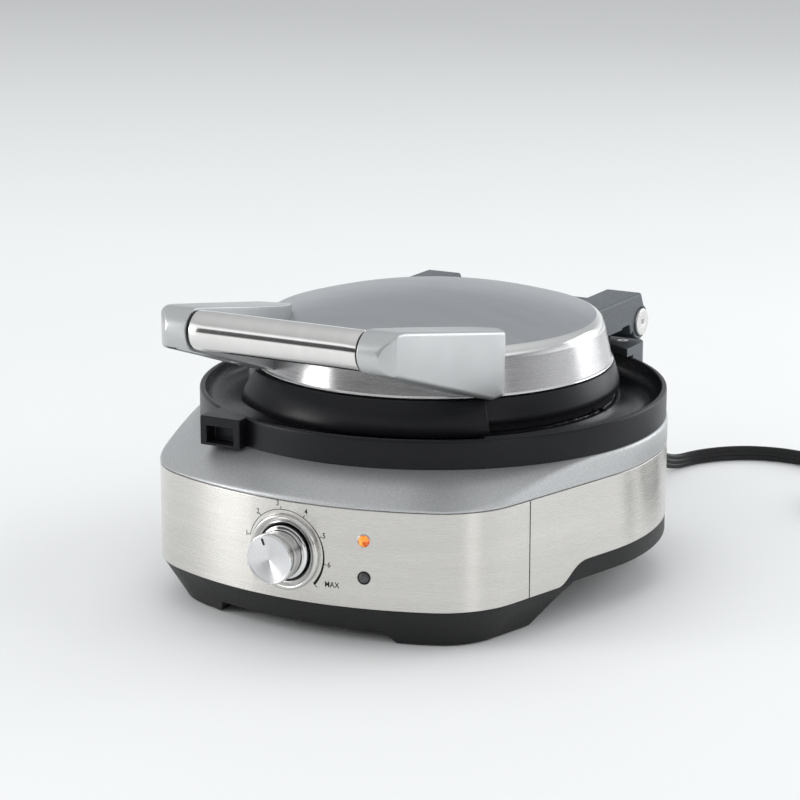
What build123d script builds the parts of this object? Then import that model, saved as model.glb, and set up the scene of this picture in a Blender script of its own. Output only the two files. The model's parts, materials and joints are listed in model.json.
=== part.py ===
"""Round electric waffle maker: a bowed steel base with a control dial, a drip moat around
the lower plate, and a domed lid with a fixed two-arm handle that opens on a rear hinge.

Millimetres, +Z up. The origin is on the counter under the middle of the body; the front
faces -Y. Most features are set out from the vertical axis of the plates, moat_y behind it.
"""
import os
from math import cos, hypot, pi, radians, sin, sqrt, tan

from build123d import *

os.makedirs("parts", exist_ok=True)

# ---- Driving dimensions ---------------------------------------------------------------
moat_y = 20.0             # plate axis, behind the origin
gap = 0.3                 # air between neighbouring parts

# Base footprint, about the plate axis
rear_radius = 126.1       # half width of the base
corner_radius = 47.6      # front corners
bow_radius = 190.7        # bowed front
front_reach = 153.1       # plate axis to the middle of the front
flank_angle = 14.9        # how far the flanks close in towards the front
rear_half = 72.0          # rear panel
rear_reach = 128.5
seam_y = -93.6            # vertical joint between fascia and side panel

# Heights
foot_clear = 0.8          # tray above the counter, on its feet
steel_bottom = 21.3
side_rise = 32.0          # steel's lower edge along the sides
panel_low = 20.0          # rear panel's lower edge
steel_top = 72.0
cover_top = 85.4
rim_top = 100.5
plate_face = 96.0         # parting plane of the waffle cavity
lid_edge = 113.8
shoulder_top = 138.6
shoulder_radius = 85.5
crown = 151.8

sheet = 0.8               # stainless sheet
wall = 2.5                # mouldings and castings
foot_inset = 13.0         # undercut of the tray at the counter
cover_slope = 0.387       # fall of the top cover away from the moat

moat_radius = 125.3
rim_inner = 122.3
plate_radius = 98.0
lid_radius = 96.0
skirt_radius = 99.9
rib_drop = 2.6            # rib tops below the parting plane
pocket_depth = 7.0
pocket_size = 12.5
pocket_pitch = 17.0
grid_radius = 88.0
heater_radius = 70.0
heater_tube = 3.3

# Hinge and handle
pin_y, pin_z = 118.4, 117.4
arm_inner, arm_outer = 46.6, 68.0
pin_radius = 4.0
barrel_radius = 10.0
head_radius = 7.7
grip_y, grip_z = -154.5, 153.5
grip_half, grip_radius, cap_radius = 48.1, 10.0, 11.0
handle_outer_front, handle_outer_rear = 66.5, 74.5
nose_facet = 60.5         # where the slanted facet of the arm's nose begins
latch_x, latch_y, latch_z = -60.0, -109.0, 137.0
catch_x, catch_front = -56.4, -124.0

# Screws
screw_circle = 84.0       # standoffs of both plates
foot_places = [(-62.0, -100.0), (62.0, -100.0), (-66.0, 76.0), (66.0, 76.0)]
bracket_screw_places = [(-58.0, 117.5), (58.0, 117.5)]
hinge_screw_places = [(-57.3, 64.0), (57.3, 64.0)]
handle_screw_places = [(side * 61.0, z) for side in (-1, 1) for z in (120.5, 129.5)]

# Control panel
dial_z = 46.0
dial_radius, dial_front = 12.8, 168.5
index_angle = 111.0       # where the knob's mark rests, counted from the right
lamp_angle = 12.85
lamp_high, lamp_low = 56.5, 37.6

# Mains cord
cord_diameter = 9.0
coil_radius = 50.0
coil_centre = (200.0, 218.0)
cord_route = [
    (40.0, 153.0, 32.0),
    (40.0, 179.0, 32.0),
    (40.4, 203.0, 17.0),
    (42.0, 227.0, 4.7),
    (50.0, 252.0, 4.7),
    (68.0, 272.0, 4.7),
    (92.0, 280.0, 4.7),
    (117.0, 276.5, 4.7),
    (142.0, 272.5, 4.7),
    (166.0, 272.5, 4.7),
]


# ---- Planes about the plate axis --------------------------------------------------------

def level(z):
    """Horizontal plane at height z."""
    return Plane((0, moat_y, z))


def across(x):
    """Upright plane at x, drawn in (y, z)."""
    return Plane(origin=(x, moat_y, 0), x_dir=(0, 1, 0), z_dir=(1, 0, 0))


def facing(y):
    """Upright plane at y that faces the front, drawn in (x, z)."""
    return Plane(origin=(0, moat_y + y, 0), x_dir=(1, 0, 0), z_dir=(0, -1, 0))


def on_panel(angle, z):
    """Plane on the bowed front, square to it, at an angle from its middle."""
    a = radians(angle)
    centre_y = moat_y - front_reach + bow_radius
    origin = (bow_radius * sin(a), centre_y - bow_radius * cos(a), z)
    return Plane(origin=origin, x_dir=(cos(a), sin(a), 0), z_dir=(sin(a), -cos(a), 0))


plate_axis = Axis((0, moat_y, 0), (0, 0, 1))
profile_plane = Plane(origin=(0, moat_y, 0), x_dir=(1, 0, 0), z_dir=(0, -1, 0))


# ---- Shapes that several parts share ------------------------------------------------------
def base_outline(inset=0.0):
    """Footprint of the base: rear circle, flanks, front corners and bowed front."""
    a = radians(flank_angle)
    n = Vector(cos(a), -sin(a))
    t = Vector(-sin(a), -cos(a))
    bow = Vector(0, bow_radius - front_reach)
    b = n * (rear_radius - corner_radius) - bow
    reach = sqrt(b.dot(t) ** 2 - b.dot(b) + (bow_radius - corner_radius) ** 2)
    corner = bow + b + t * (reach - b.dot(t))
    u = (corner - bow).normalized()
    r = corner_radius - inset
    flank_rear = n * (rear_radius - inset)
    flank_front = corner + n * r
    mid = corner + (n + u).normalized() * r
    front = corner + u * r

    def left(p):
        return Vector(-p.X, p.Y)

    with BuildSketch() as footprint:
        with BuildLine():
            ThreePointArc(flank_rear, (0, rear_radius - inset), left(flank_rear))
            Line(left(flank_rear), left(flank_front))
            ThreePointArc(left(flank_front), left(mid), left(front))
            ThreePointArc(left(front), (0, inset - front_reach), front)
            ThreePointArc(front, mid, flank_front)
            Line(flank_front, flank_rear)
        make_face()
    return footprint.sketch


def rear_block(inset=0.0, front=90.0):
    """Footprint of the squared rear that carries the hinge and the cord."""
    with BuildSketch() as block:
        width = 2 * (rear_half - inset)
        depth = rear_reach - inset - front
        with Locations((0, front + depth / 2)):
            Rectangle(width, depth)
        fillet(block.vertices().group_by(Axis.Y)[-1], 12 - inset)
    return block.sketch


def solid_of(sketch, low, high):
    """Upright solid of a footprint between two heights."""
    with BuildPart(mode=Mode.PRIVATE) as piece:
        with BuildSketch(level(low)):
            add(sketch)
        extrude(amount=high - low)
    return piece.part


def turned(points, arc=360):
    """Solid turned about the plate axis from (radius, height) points."""
    with BuildPart(mode=Mode.PRIVATE) as piece:
        with BuildSketch(profile_plane):
            with BuildLine():
                Polyline(*points, close=True)
            make_face()
        revolve(axis=plate_axis, revolution_arc=arc)
    return piece.part


def slab(x0, x1, y0, y1, z0, z1):
    """Plain block between two corners, about the plate axis."""
    with BuildPart(mode=Mode.PRIVATE) as piece:
        with Locations(((x0 + x1) / 2, moat_y + (y0 + y1) / 2, (z0 + z1) / 2)):
            Box(x1 - x0, y1 - y0, z1 - z0)
    return piece.part


def side_step(drop=0.0):
    """Region under the raised lower edge of the side panels, as a solid across the base."""
    low, high = steel_bottom - 5, side_rise - drop
    with BuildPart(mode=Mode.PRIVATE) as piece:
        with BuildSketch(across(0)):
            with BuildLine():
                Bezier((-74, steel_bottom - drop), (-64, steel_bottom - drop), (-62, high), (-50, high))
                Polyline((-50, high), (140, high), (140, low), (-74, low), (-74, steel_bottom - drop))
            make_face()
        extrude(amount=150, both=True)
    return piece.part


def dome_curve(inset=0.0, low=lid_edge):
    """Line of the lid's stainless shell from its lower edge to the crown, moved in by inset."""
    top, edge = shoulder_top - inset, shoulder_radius - inset
    rise = crown - shoulder_top
    ball = (edge ** 2 + rise ** 2) / (2 * rise)
    Line((lid_radius - inset, low), (92.0 - inset, 132.4))
    Bezier((92.0 - inset, 132.4), (90.7 - inset, top - 1.0), (edge, top))
    RadiusArc((edge, top), (0, crown - inset), -ball)


def dome(inset=0.0, low=lid_edge):
    """Filled lid dome."""
    with BuildPart(mode=Mode.PRIVATE) as piece:
        with BuildSketch(profile_plane):
            with BuildLine():
                dome_curve(inset, low)
                Polyline((0, crown - inset), (0, low), (lid_radius - inset, low))
            make_face()
        revolve(axis=plate_axis)
    return piece.part


# ---- Base ---------------------------------------------------------------------------------
with BuildPart() as base_tray:
    with BuildSketch(level(foot_clear)):
        add(base_outline(foot_inset))
    with BuildSketch(level(steel_bottom)):
        add(base_outline(0.3))
    loft(ruled=True)
    add(solid_of(base_outline(0.3), steel_bottom, side_rise) & side_step(gap))
    add(solid_of(base_outline(1.3), steel_bottom - 1, 27))
    add(solid_of(base_outline(1.3), 26, side_rise + 6) & slab(-130, 130, -84, 130, 0, 50))
    with BuildSketch(level(10)):
        add(rear_block())
    extrude(amount=panel_low - gap - 10)
    # The inside
    add(solid_of(base_outline(4.2), 25, side_rise + 7), mode=Mode.SUBTRACT)
    add(solid_of(rear_block(-1, front=60), panel_low - gap, 40), mode=Mode.SUBTRACT)
    add(solid_of(rear_block(wall, front=112), 12.5, 26), mode=Mode.SUBTRACT)
    add(solid_of(base_outline(17), 10.5, 26) & slab(-130, 130, -160, -82, 5, 30), mode=Mode.SUBTRACT)
    add(solid_of(base_outline(17), 3.6, 26) & slab(-130, 130, 66, 130, 0, 30), mode=Mode.SUBTRACT)
    # Arch from side to side, and the low arch in front
    with BuildSketch(across(0)):
        Polygon((-77, -1), (-66, 18), (-61, 22.4), (48, 22.4), (53, 18), (61, -1), align=None)
    extrude(amount=150, both=True, mode=Mode.SUBTRACT)
    with BuildSketch(facing(-60)):
        Polygon((-53, -1), (-47, 7.8), (47, 7.8), (53, -1), align=None)
    extrude(amount=110, mode=Mode.SUBTRACT)
    # Two slotted posts that hold the control board
    for x in (-16, 50):
        add(slab(x - 3, x + 3, -137.5, -130.5, 9, 34))
        add(slab(x - 4, x + 4, -135.1, -133.3, 26.9, 35), mode=Mode.SUBTRACT)
    # Pockets for the feet
    with BuildSketch(level(0)):
        with Locations(*foot_places):
            Circle(9.2)
    extrude(amount=2.4, mode=Mode.SUBTRACT)
base_tray.part.label = "base_tray"
export_step(base_tray.part, "parts/base_tray.step")

with BuildPart() as rubber_feet:
    with BuildSketch(level(0)):
        with Locations(*foot_places):
            Circle(9.0)
    extrude(amount=2.4)
    fillet(rubber_feet.edges().group_by(Axis.Z)[0], 0.6)
rubber_feet.part.label = "rubber_feet"
export_step(rubber_feet.part, "parts/rubber_feet.step")

steel_band = solid_of(base_outline(), steel_bottom + gap, steel_top)
steel_band -= solid_of(base_outline(sheet), steel_bottom, steel_top + 1)

with BuildPart() as front_fascia:
    add(steel_band & slab(-140, 140, -160, seam_y, 0, 100))
    with BuildSketch(facing(-100)):
        with Locations((0, dial_z)):
            Circle(16.4)
    extrude(amount=80, mode=Mode.SUBTRACT)
    for height in (lamp_high, lamp_low):
        with BuildSketch(on_panel(lamp_angle, height).offset(-10)):
            Circle(2.8)
        extrude(amount=20, mode=Mode.SUBTRACT)
front_fascia.part.label = "front_fascia"
export_step(front_fascia.part, "parts/front_fascia.step")

for side, name in ((-1, "side_panel_left"), (1, "side_panel_right")):
    edge = side * (rear_half + gap)
    keep = slab(min(edge, side * 140), max(edge, side * 140), seam_y + 0.25, 130, 0, 100)
    with BuildPart() as side_panel:
        add(steel_band & keep)
        add(side_step(), mode=Mode.SUBTRACT)
    side_panel.part.label = name
    export_step(side_panel.part, f"parts/{name}.step")

with BuildPart() as rear_panel:
    add(solid_of(rear_block(), panel_low, 88))
    add(solid_of(rear_block(wall, front=60), panel_low - 1, 88 - wall), mode=Mode.SUBTRACT)
    with BuildSketch(level(steel_top - 6)):
        with Locations(*bracket_screw_places):
            Circle(4.5)
    extrude(amount=88 - steel_top + 5)
    with BuildSketch(level(steel_top - 7)):
        with Locations(*bracket_screw_places):
            Circle(1.6)
    extrude(amount=30, mode=Mode.SUBTRACT)
    with BuildSketch(level(steel_top - 10)):
        Circle(moat_radius + 1.2)
    extrude(amount=40, mode=Mode.SUBTRACT)
    with BuildSketch(level(0)):
        Circle(rear_radius - 1)
    extrude(amount=80, mode=Mode.SUBTRACT)
    with BuildSketch(facing(rear_reach + 1)):
        with Locations((cord_route[0][0], cord_route[0][2])):
            Circle(6.1)
    extrude(amount=10, mode=Mode.SUBTRACT)
rear_panel.part.label = "rear_panel"
export_step(rear_panel.part, "parts/rear_panel.step")

# ---- Top cover, moat and lower plate ----------------------------------------------------------
def cover_block(inset=0.0, drop=0.0):
    """Base outline, topped by the gentle cone that falls away from the moat."""
    outer = 175.0
    outer_height = cover_top - (outer - moat_radius) * cover_slope
    top = turned([(0, 40), (outer, 40), (outer, outer_height - drop),
                  (moat_radius, cover_top - drop), (0, cover_top - drop)])
    return solid_of(base_outline(inset), steel_top + 0.2, 95) & top


with BuildPart() as top_cover:
    add(cover_block())
    rim = top_cover.edges().filter_by(lambda e: e.center().Z > steel_top + 1)
    fillet([e for e in rim if hypot(e.center().X, e.center().Y - moat_y) > 128], 2.6)
    add(cover_block(wall, wall), mode=Mode.SUBTRACT)
    add(solid_of(base_outline(wall), steel_top, steel_top + 1), mode=Mode.SUBTRACT)
    add(solid_of(base_outline(1.3), steel_top - 7, steel_top + 2.7))
    add(solid_of(base_outline(3.2), steel_top - 8, steel_top + 3), mode=Mode.SUBTRACT)
    with BuildSketch(level(60)):
        Circle(112)
    extrude(amount=40, mode=Mode.SUBTRACT)
    add(slab(-rear_half - gap, rear_half + gap, 90, 130, 60, steel_top), mode=Mode.SUBTRACT)
top_cover.part.label = "top_cover"
export_step(top_cover.part, "parts/top_cover.step")

with BuildPart() as moat_ring:
    with BuildSketch(profile_plane):
        with BuildLine():
            Line((plate_radius + gap, cover_top), (plate_radius + gap, 95.2))
            Line((plate_radius + gap, 95.2), (plate_radius + 2.4, 95.2))
            Bezier((plate_radius + 2.4, 95.2), (103.5, 88.6), (111.0, 88.2), (118.5, 88.4), (120.8, 92.0),
                   (rim_inner, rim_top - 1.0))
            Polyline((rim_inner, rim_top - 1.0), (rim_inner + 0.6, rim_top), (moat_radius - 1.0, rim_top),
                     (moat_radius - 0.3, rim_top - 0.7), (moat_radius, cover_top),
                     (plate_radius + gap, cover_top))
        make_face()
    revolve(axis=plate_axis)
    # Catch box for the lid's storage lock, at the left of the front
    add(slab(catch_x - 12, catch_x + 12, catch_front, -106, cover_top, rim_top)
        - turned([(0, 60), (rim_inner, 60), (rim_inner, 120), (0, 120)]))
    add(slab(catch_x - 8, catch_x + 8, catch_front - 1, catch_front + 8, 86.8, 95.4), mode=Mode.SUBTRACT)
moat_ring.part.label = "moat_ring"
export_step(moat_ring.part, "parts/moat_ring.step")


def grid_cells():
    """Centres of the waffle pockets, laid out square inside the grid circle."""
    steps = [(i + 0.5) * pocket_pitch for i in range(-5, 5)]
    reach = grid_radius - 0.72 * pocket_size
    return [(x, y) for x in steps for y in steps if hypot(x, y) < reach]


with BuildPart() as lower_plate:
    with BuildSketch(level(83)):
        Circle(plate_radius)
    extrude(amount=plate_face - 83)
    with BuildSketch(level(plate_face)):
        Circle(92)
    extrude(amount=-rib_drop, taper=20, mode=Mode.SUBTRACT)
    with BuildSketch(level(plate_face - rib_drop)):
        with Locations(*grid_cells()):
            RectangleRounded(pocket_size, pocket_size, 1.5)
    extrude(amount=-pocket_depth, taper=8, mode=Mode.SUBTRACT)
    fillet(lower_plate.edges().group_by(Axis.Z)[-1].sort_by(SortBy.LENGTH)[-1], 0.8)
    with BuildSketch(level(83)):
        with PolarLocations(screw_circle, 3, start_angle=90):
            Circle(1.7)
    extrude(amount=4, mode=Mode.SUBTRACT)
lower_plate.part.label = "lower_plate"
export_step(lower_plate.part, "parts/lower_plate.step")


def heater_ends():
    """The two ends of a heater ring, as places in plan."""
    return [(heater_radius * cos(radians(a)), heater_radius * sin(radians(a))) for a in (0, -30)]


def heater(z, away):
    """Tubular element bent into an open ring, its two ends turned away from the plate."""
    with BuildPart(mode=Mode.PRIVATE) as element:
        with BuildSketch(profile_plane):
            with Locations((heater_radius, z)):
                Circle(heater_tube)
        revolve(axis=plate_axis, revolution_arc=330)
        with BuildSketch(level(z - away * (heater_tube - 0.4))):
            with Locations(*heater_ends()):
                Circle(heater_tube - 0.3)
        extrude(amount=away * 11)
    return element.part


with BuildPart() as lower_heater:
    add(heater(83 - heater_tube, -1))
lower_heater.part.label = "lower_heater"
export_step(lower_heater.part, "parts/lower_heater.step")

with BuildPart() as heat_shield:
    add(turned([(0, 66), (104, 66), (104, 81.5), (116, 81.5), (116, 82.7), (102.8, 82.7),
                (102.8, 67.2), (0, 67.2)]))
    with BuildSketch(level(60)):
        with Locations(*heater_ends()):
            Circle(heater_tube + 1.5)
        Circle(6.5)
        with PolarLocations(screw_circle, 3, start_angle=90):
            Circle(1.7)
    extrude(amount=10, mode=Mode.SUBTRACT)
heat_shield.part.label = "heat_shield"
export_step(heat_shield.part, "parts/heat_shield.step")

with BuildPart() as plate_standoffs:
    with BuildSketch(level(67.2)):
        with PolarLocations(screw_circle, 3, start_angle=90):
            Circle(4)
            Circle(1.7, mode=Mode.SUBTRACT)
    extrude(amount=83 - 67.2)
plate_standoffs.part.label = "plate_standoffs"
export_step(plate_standoffs.part, "parts/plate_standoffs.step")

with BuildPart() as plate_screws:
    with BuildSketch(level(63)):
        with PolarLocations(screw_circle, 3, start_angle=90):
            Circle(3.4)
    extrude(amount=3)
    with BuildSketch(level(66)):
        with PolarLocations(screw_circle, 3, start_angle=90):
            Circle(1.6)
    extrude(amount=20)
plate_screws.part.label = "plate_screws"
export_step(plate_screws.part, "parts/plate_screws.step")

with BuildPart() as temperature_sensor:
    with BuildSketch(level(72)):
        Circle(5)
    extrude(amount=11)
    with BuildSketch(level(64)):
        Circle(2)
    extrude(amount=8)
temperature_sensor.part.label = "temperature_sensor"
export_step(temperature_sensor.part, "parts/temperature_sensor.step")

# ---- Controls -----------------------------------------------------------------------------
dial_plane = facing(-front_reach).shift_origin((0, moat_y - front_reach, dial_z))
dial_axis = Axis((0, moat_y, dial_z), (0, -1, 0))
dial_profile = Plane(origin=(0, moat_y - front_reach, dial_z), x_dir=(0, -1, 0), z_dir=(1, 0, 0))


def dial_turned(points):
    """Solid turned about the dial's axis from (distance in front of the panel, radius) points."""
    with BuildPart(mode=Mode.PRIVATE) as piece:
        with BuildSketch(dial_profile):
            with BuildLine():
                Polyline(*points, close=True)
            make_face()
        revolve(axis=dial_axis)
    return piece.part


bow_solid = Location((0, moat_y - front_reach + bow_radius, 0)) * Solid.make_cylinder(bow_radius, 100)

with BuildPart() as dial_bezel:
    add(dial_turned([(-3, 19.6), (0.9, 19.6), (1.7, 19.0), (2.0, 18.3), (1.6, 17.4), (0.5, 15.9),
                     (0.1, 15.2), (-3, 15.2)]) - bow_solid)
    add(dial_turned([(-6, 16.2), (-0.2, 16.2), (-0.2, 15.2), (-6, 15.2)]))
dial_bezel.part.label = "dial_bezel"
export_step(dial_bezel.part, "parts/dial_bezel.step")

with BuildPart() as dial_well:
    add(dial_turned([(-7.5, 4.3), (-7.5, 17.5), (-6.1, 17.5), (-6.1, 15.1), (-0.6, 15.1), (-0.6, 14.3),
                     (-6.0, 14.3), (-6.0, 4.3)]))
dial_well.part.label = "dial_well"
export_step(dial_well.part, "parts/dial_well.step")

dial_length = dial_front - front_reach
with BuildPart() as dial_knob:
    add(dial_turned([(-4.6, 0), (-4.6, 13.7), (1.6, 13.7), (2.0, 13.3), (2.2, 11.6), (3.2, 11.6), (3.4, 12.4),
                     (dial_length - 0.8, dial_radius), (dial_length, dial_radius - 0.8),
                     (dial_length - 0.2, dial_radius - 1.4), (dial_length - 0.9, 0)]))
    # Index groove along the side and over the rim of the face
    index_x = dial_radius * cos(radians(index_angle))
    index_z = dial_z + dial_radius * sin(radians(index_angle))
    with Locations(Location((index_x, moat_y - dial_front + 3, index_z), (0, 90 - index_angle, 0))):
        Box(1.6, 8.0, 1.0, mode=Mode.SUBTRACT)
    add(dial_turned([(-5, 0), (-5, 3.0), (6, 3.0), (6, 0)]), mode=Mode.SUBTRACT)
dial_knob.part.label = "dial_knob"
export_step(dial_knob.part, "parts/dial_knob.step")

with BuildPart() as dial_shaft:
    add(dial_turned([(-15, 0), (-15, 3.0), (6, 3.0), (6, 0)]))
dial_shaft.part.label = "dial_shaft"
export_step(dial_shaft.part, "parts/dial_shaft.step")

with BuildPart() as potentiometer:
    with BuildSketch(dial_plane.offset(-18)):
        Rectangle(17, 17)
    extrude(amount=8.5)
    add(dial_turned([(-9.6, 3.4), (-9.6, 4.2), (-5.2, 4.2), (-5.2, 3.4)]))
    add(dial_turned([(-9.6, 0), (-9.6, 4.2), (-7.6, 4.2), (-7.6, 0)]))
    add(dial_turned([(-15.2, 0), (-15.2, 3.06), (0, 3.06), (0, 0)]), mode=Mode.SUBTRACT)
potentiometer.part.label = "potentiometer"
export_step(potentiometer.part, "parts/potentiometer.step")

with BuildPart() as control_board:
    with BuildSketch(dial_plane.offset(-19.7)):
        with Locations((18, 1)):
            Rectangle(80, 40)
    extrude(amount=1.6)
    with BuildSketch(dial_plane.offset(-27.6)):
        with Locations((-8, 4)):
            Rectangle(18, 15)
        with Locations((18, 4)):
            Rectangle(14, 22)
    extrude(amount=8)
control_board.part.label = "control_board"
export_step(control_board.part, "parts/control_board.step")

with BuildPart() as ready_beeper:
    with BuildSketch(dial_plane.offset(-18.1)):
        with Locations((22, -10)):
            Circle(6)
    extrude(amount=6)
ready_beeper.part.label = "ready_beeper"
export_step(ready_beeper.part, "parts/ready_beeper.step")

for name, height in (("power", lamp_high), ("ready", lamp_low)):
    with BuildPart() as lamp_ring:
        with BuildSketch(on_panel(lamp_angle, height).offset(-0.2)):
            Circle(3.4)
        extrude(amount=0.8)
        add(bow_solid, mode=Mode.SUBTRACT)
        with BuildSketch(on_panel(lamp_angle, height).offset(-3)):
            Circle(2.7)
        extrude(amount=3.3)
        with BuildSketch(on_panel(lamp_angle, height).offset(-4)):
            Circle(2.35)
        extrude(amount=10, mode=Mode.SUBTRACT)
    lamp_ring.part.label = f"{name}_lamp_ring"
    export_step(lamp_ring.part, f"parts/{name}_lamp_ring.step")

    with BuildPart() as lamp_lens:
        with BuildSketch(on_panel(lamp_angle, height).offset(-5)):
            Circle(2.3)
        extrude(amount=5.9)
        fillet(lamp_lens.faces().sort_by(Axis.Y)[0].edges(), 0.7)
    lamp_lens.part.label = f"{name}_lamp_lens"
    export_step(lamp_lens.part, f"parts/{name}_lamp_lens.step")

with BuildPart() as lamp_leds:
    for height in (lamp_high, lamp_low):
        with BuildSketch(on_panel(lamp_angle, height).offset(-8.5)):
            Circle(1.5)
        extrude(amount=3.4)
lamp_leds.part.label = "lamp_leds"
export_step(lamp_leds.part, "parts/lamp_leds.step")

with BuildPart() as terminal_block:
    add(slab(24, 56, 30, 42, 25.1, 40))
    for x in (30, 40, 50):
        add(slab(x - 2.5, x + 2.5, 29, 43, 36, 41), mode=Mode.SUBTRACT)
terminal_block.part.label = "terminal_block"
export_step(terminal_block.part, "parts/terminal_block.step")

with BuildPart() as thermal_fuse:
    with Locations((-30, moat_y + 20, 71)):
        Cylinder(2.2, 14, rotation=(0, 90, 0))
        Cylinder(0.6, 34, rotation=(0, 90, 0))
thermal_fuse.part.label = "thermal_fuse"
export_step(thermal_fuse.part, "parts/thermal_fuse.step")

# ---- Hinge --------------------------------------------------------------------------------
with BuildPart() as hinge_bracket:
    with BuildSketch(level(88.2)):
        add(rear_block(2, front=60))
        Circle(moat_radius + 0.8, mode=Mode.SUBTRACT)
    extrude(amount=rim_top + gap - 88.2)
    with BuildSketch(level(rim_top + gap)):
        add(rear_block(2, front=60))
        Circle(119.5, mode=Mode.SUBTRACT)
    extrude(amount=106 - rim_top - gap)
    for side in (-1, 1):
        near = 25 * side if side > 0 else -46
        with BuildSketch(across(near)):
            with Locations((pin_y, pin_z)):
                Circle(barrel_radius)
            Polygon((pin_y - 9.6, pin_z - 3), (109.5, 105), (rear_reach - 2.4, 105), (pin_y + 9.8, pin_z - 2),
                    align=None)
        extrude(amount=21)
        with BuildSketch(across(near - 1)):
            with Locations((pin_y, pin_z)):
                Circle(pin_radius + 0.05)
        extrude(amount=23, mode=Mode.SUBTRACT)
    with BuildSketch(level(80)):
        with Locations(*bracket_screw_places):
            Circle(1.8)
    extrude(amount=40, mode=Mode.SUBTRACT)
    with BuildSketch(level(104)):
        with Locations(*bracket_screw_places):
            Circle(3.4)
    extrude(amount=4, mode=Mode.SUBTRACT)
hinge_bracket.part.label = "hinge_bracket"
export_step(hinge_bracket.part, "parts/hinge_bracket.step")

with BuildPart() as bracket_screws:
    with BuildSketch(level(75)):
        with Locations(*bracket_screw_places):
            Circle(1.6)
    extrude(amount=30)
    with BuildSketch(level(104)):
        with Locations(*bracket_screw_places):
            Circle(3.3)
            RegularPolygon(1.2, 6, mode=Mode.SUBTRACT)
    extrude(amount=1.8)
bracket_screws.part.label = "bracket_screws"
export_step(bracket_screws.part, "parts/bracket_screws.step")

for side, name in ((-1, "left"), (1, "right")):
    start = arm_inner if side > 0 else -arm_outer
    face = side * arm_outer
    with BuildPart() as hinge_arm:
        with BuildSketch(across(start)):
            Polygon((57, 116.9), (57, 133.9), (119.0, 133.9), (125.6, 121.2), (pin_y, pin_z), (106, 112),
                    (104, 118), (95, 118), (95, 116.9), align=None)
            with Locations((pin_y, pin_z)):
                Circle(barrel_radius)
        extrude(amount=arm_outer - arm_inner)
        top_edges = hinge_arm.edges().filter_by(Axis.Y).group_by(Axis.Z)[-1]
        fillet(top_edges, 1.2)
        with BuildSketch(across(start - 1)):
            with Locations((pin_y, pin_z)):
                Circle(pin_radius)
        extrude(amount=arm_outer - arm_inner + 2, mode=Mode.SUBTRACT)
        with BuildSketch(across(face - side * 1.0)):
            with Locations((pin_y, pin_z)):
                Circle(head_radius + gap)
        extrude(amount=side * 3, mode=Mode.SUBTRACT)
        # Pocket along the underside, and the screw hole at the front
        add(slab(start + 4, start + 17.4, 74, 104, 112, 126), mode=Mode.SUBTRACT)
        with BuildSketch(level(116)):
            with Locations(*hinge_screw_places):
                Circle(1.6)
        extrude(amount=12, mode=Mode.SUBTRACT)
    hinge_arm.part.label = f"hinge_arm_{name}"
    export_step(hinge_arm.part, f"parts/hinge_arm_{name}.step")

    with BuildPart() as hinge_pin:
        with BuildSketch(across(side * 25.5)):
            with Locations((pin_y, pin_z)):
                Circle(pin_radius)
        extrude(amount=side * (arm_outer - 1 - 25.5))
        with BuildSketch(across(face - side * 1.0)):
            with Locations((pin_y, pin_z)):
                Circle(head_radius)
        extrude(amount=side * 2.6)
        cap_face = hinge_pin.faces().sort_by(Axis.X)[-1 if side > 0 else 0]
        fillet(cap_face.edges(), 0.9)
        with BuildSketch(across(face + side * 1.6)):
            with Locations((pin_y, pin_z)):
                Circle(1.3)
        extrude(amount=-side * 0.9, mode=Mode.SUBTRACT)
    hinge_pin.part.label = f"hinge_pin_{name}"
    export_step(hinge_pin.part, f"parts/hinge_pin_{name}.step")

with BuildPart() as hinge_washers:
    for start in (-46.5, 46.1):
        with BuildSketch(across(start)):
            with Locations((pin_y, pin_z)):
                Circle(8.5)
                Circle(pin_radius + 0.2, mode=Mode.SUBTRACT)
        extrude(amount=0.4)
hinge_washers.part.label = "hinge_washers"
export_step(hinge_washers.part, "parts/hinge_washers.step")

# ---- Lid ----------------------------------------------------------------------------------
arm_slots = [slab(x, x + arm_outer - arm_inner + 0.6, 55, 120, 116.4, 134.2)
             for x in (arm_inner - gap, -arm_outer - gap)]

with BuildPart() as lid_cover:
    add(dome())
    add(dome(inset=1.0), mode=Mode.SUBTRACT)
    for slot in arm_slots:
        add(slot, mode=Mode.SUBTRACT)
    with BuildSketch(facing(-40)):
        with Locations(*handle_screw_places):
            Circle(1.8)
    extrude(amount=60, mode=Mode.SUBTRACT)
lid_cover.part.label = "lid_cover"
export_step(lid_cover.part, "parts/lid_cover.step")

with BuildPart() as lid_ring:
    add(turned([(skirt_radius, 101.0), (skirt_radius, 103.6), (97.0, lid_edge - 0.2), (94.3, lid_edge - 0.2),
                (93.8, 116.4), (92.0, 116.4), (92.0, 106.2), (97.6, 106.2), (97.6, 101.0)]))
lid_ring.part.label = "lid_ring"
export_step(lid_ring.part, "parts/lid_ring.step")

with BuildPart() as lid_apron:
    with BuildSketch(Plane(origin=(0, moat_y, 0), x_dir=(cos(radians(-134)), sin(radians(-134)), 0),
                           z_dir=(-sin(radians(-134)), cos(radians(-134)), 0))):
        with BuildLine():
            Polyline((skirt_radius + 0.2, -96.4), (105.2, -96.4), (106.0, -97.2), (106.0, -100.0),
                     (103.6, -106.0), (98.4, -(lid_edge - 0.2)), (97.2, -(lid_edge - 0.2)),
                     (skirt_radius + 0.2, -103.7), close=True)
        make_face()
    revolve(axis=plate_axis, revolution_arc=88)
lid_apron.part.label = "lid_apron"
export_step(lid_apron.part, "parts/lid_apron.step")

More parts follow.
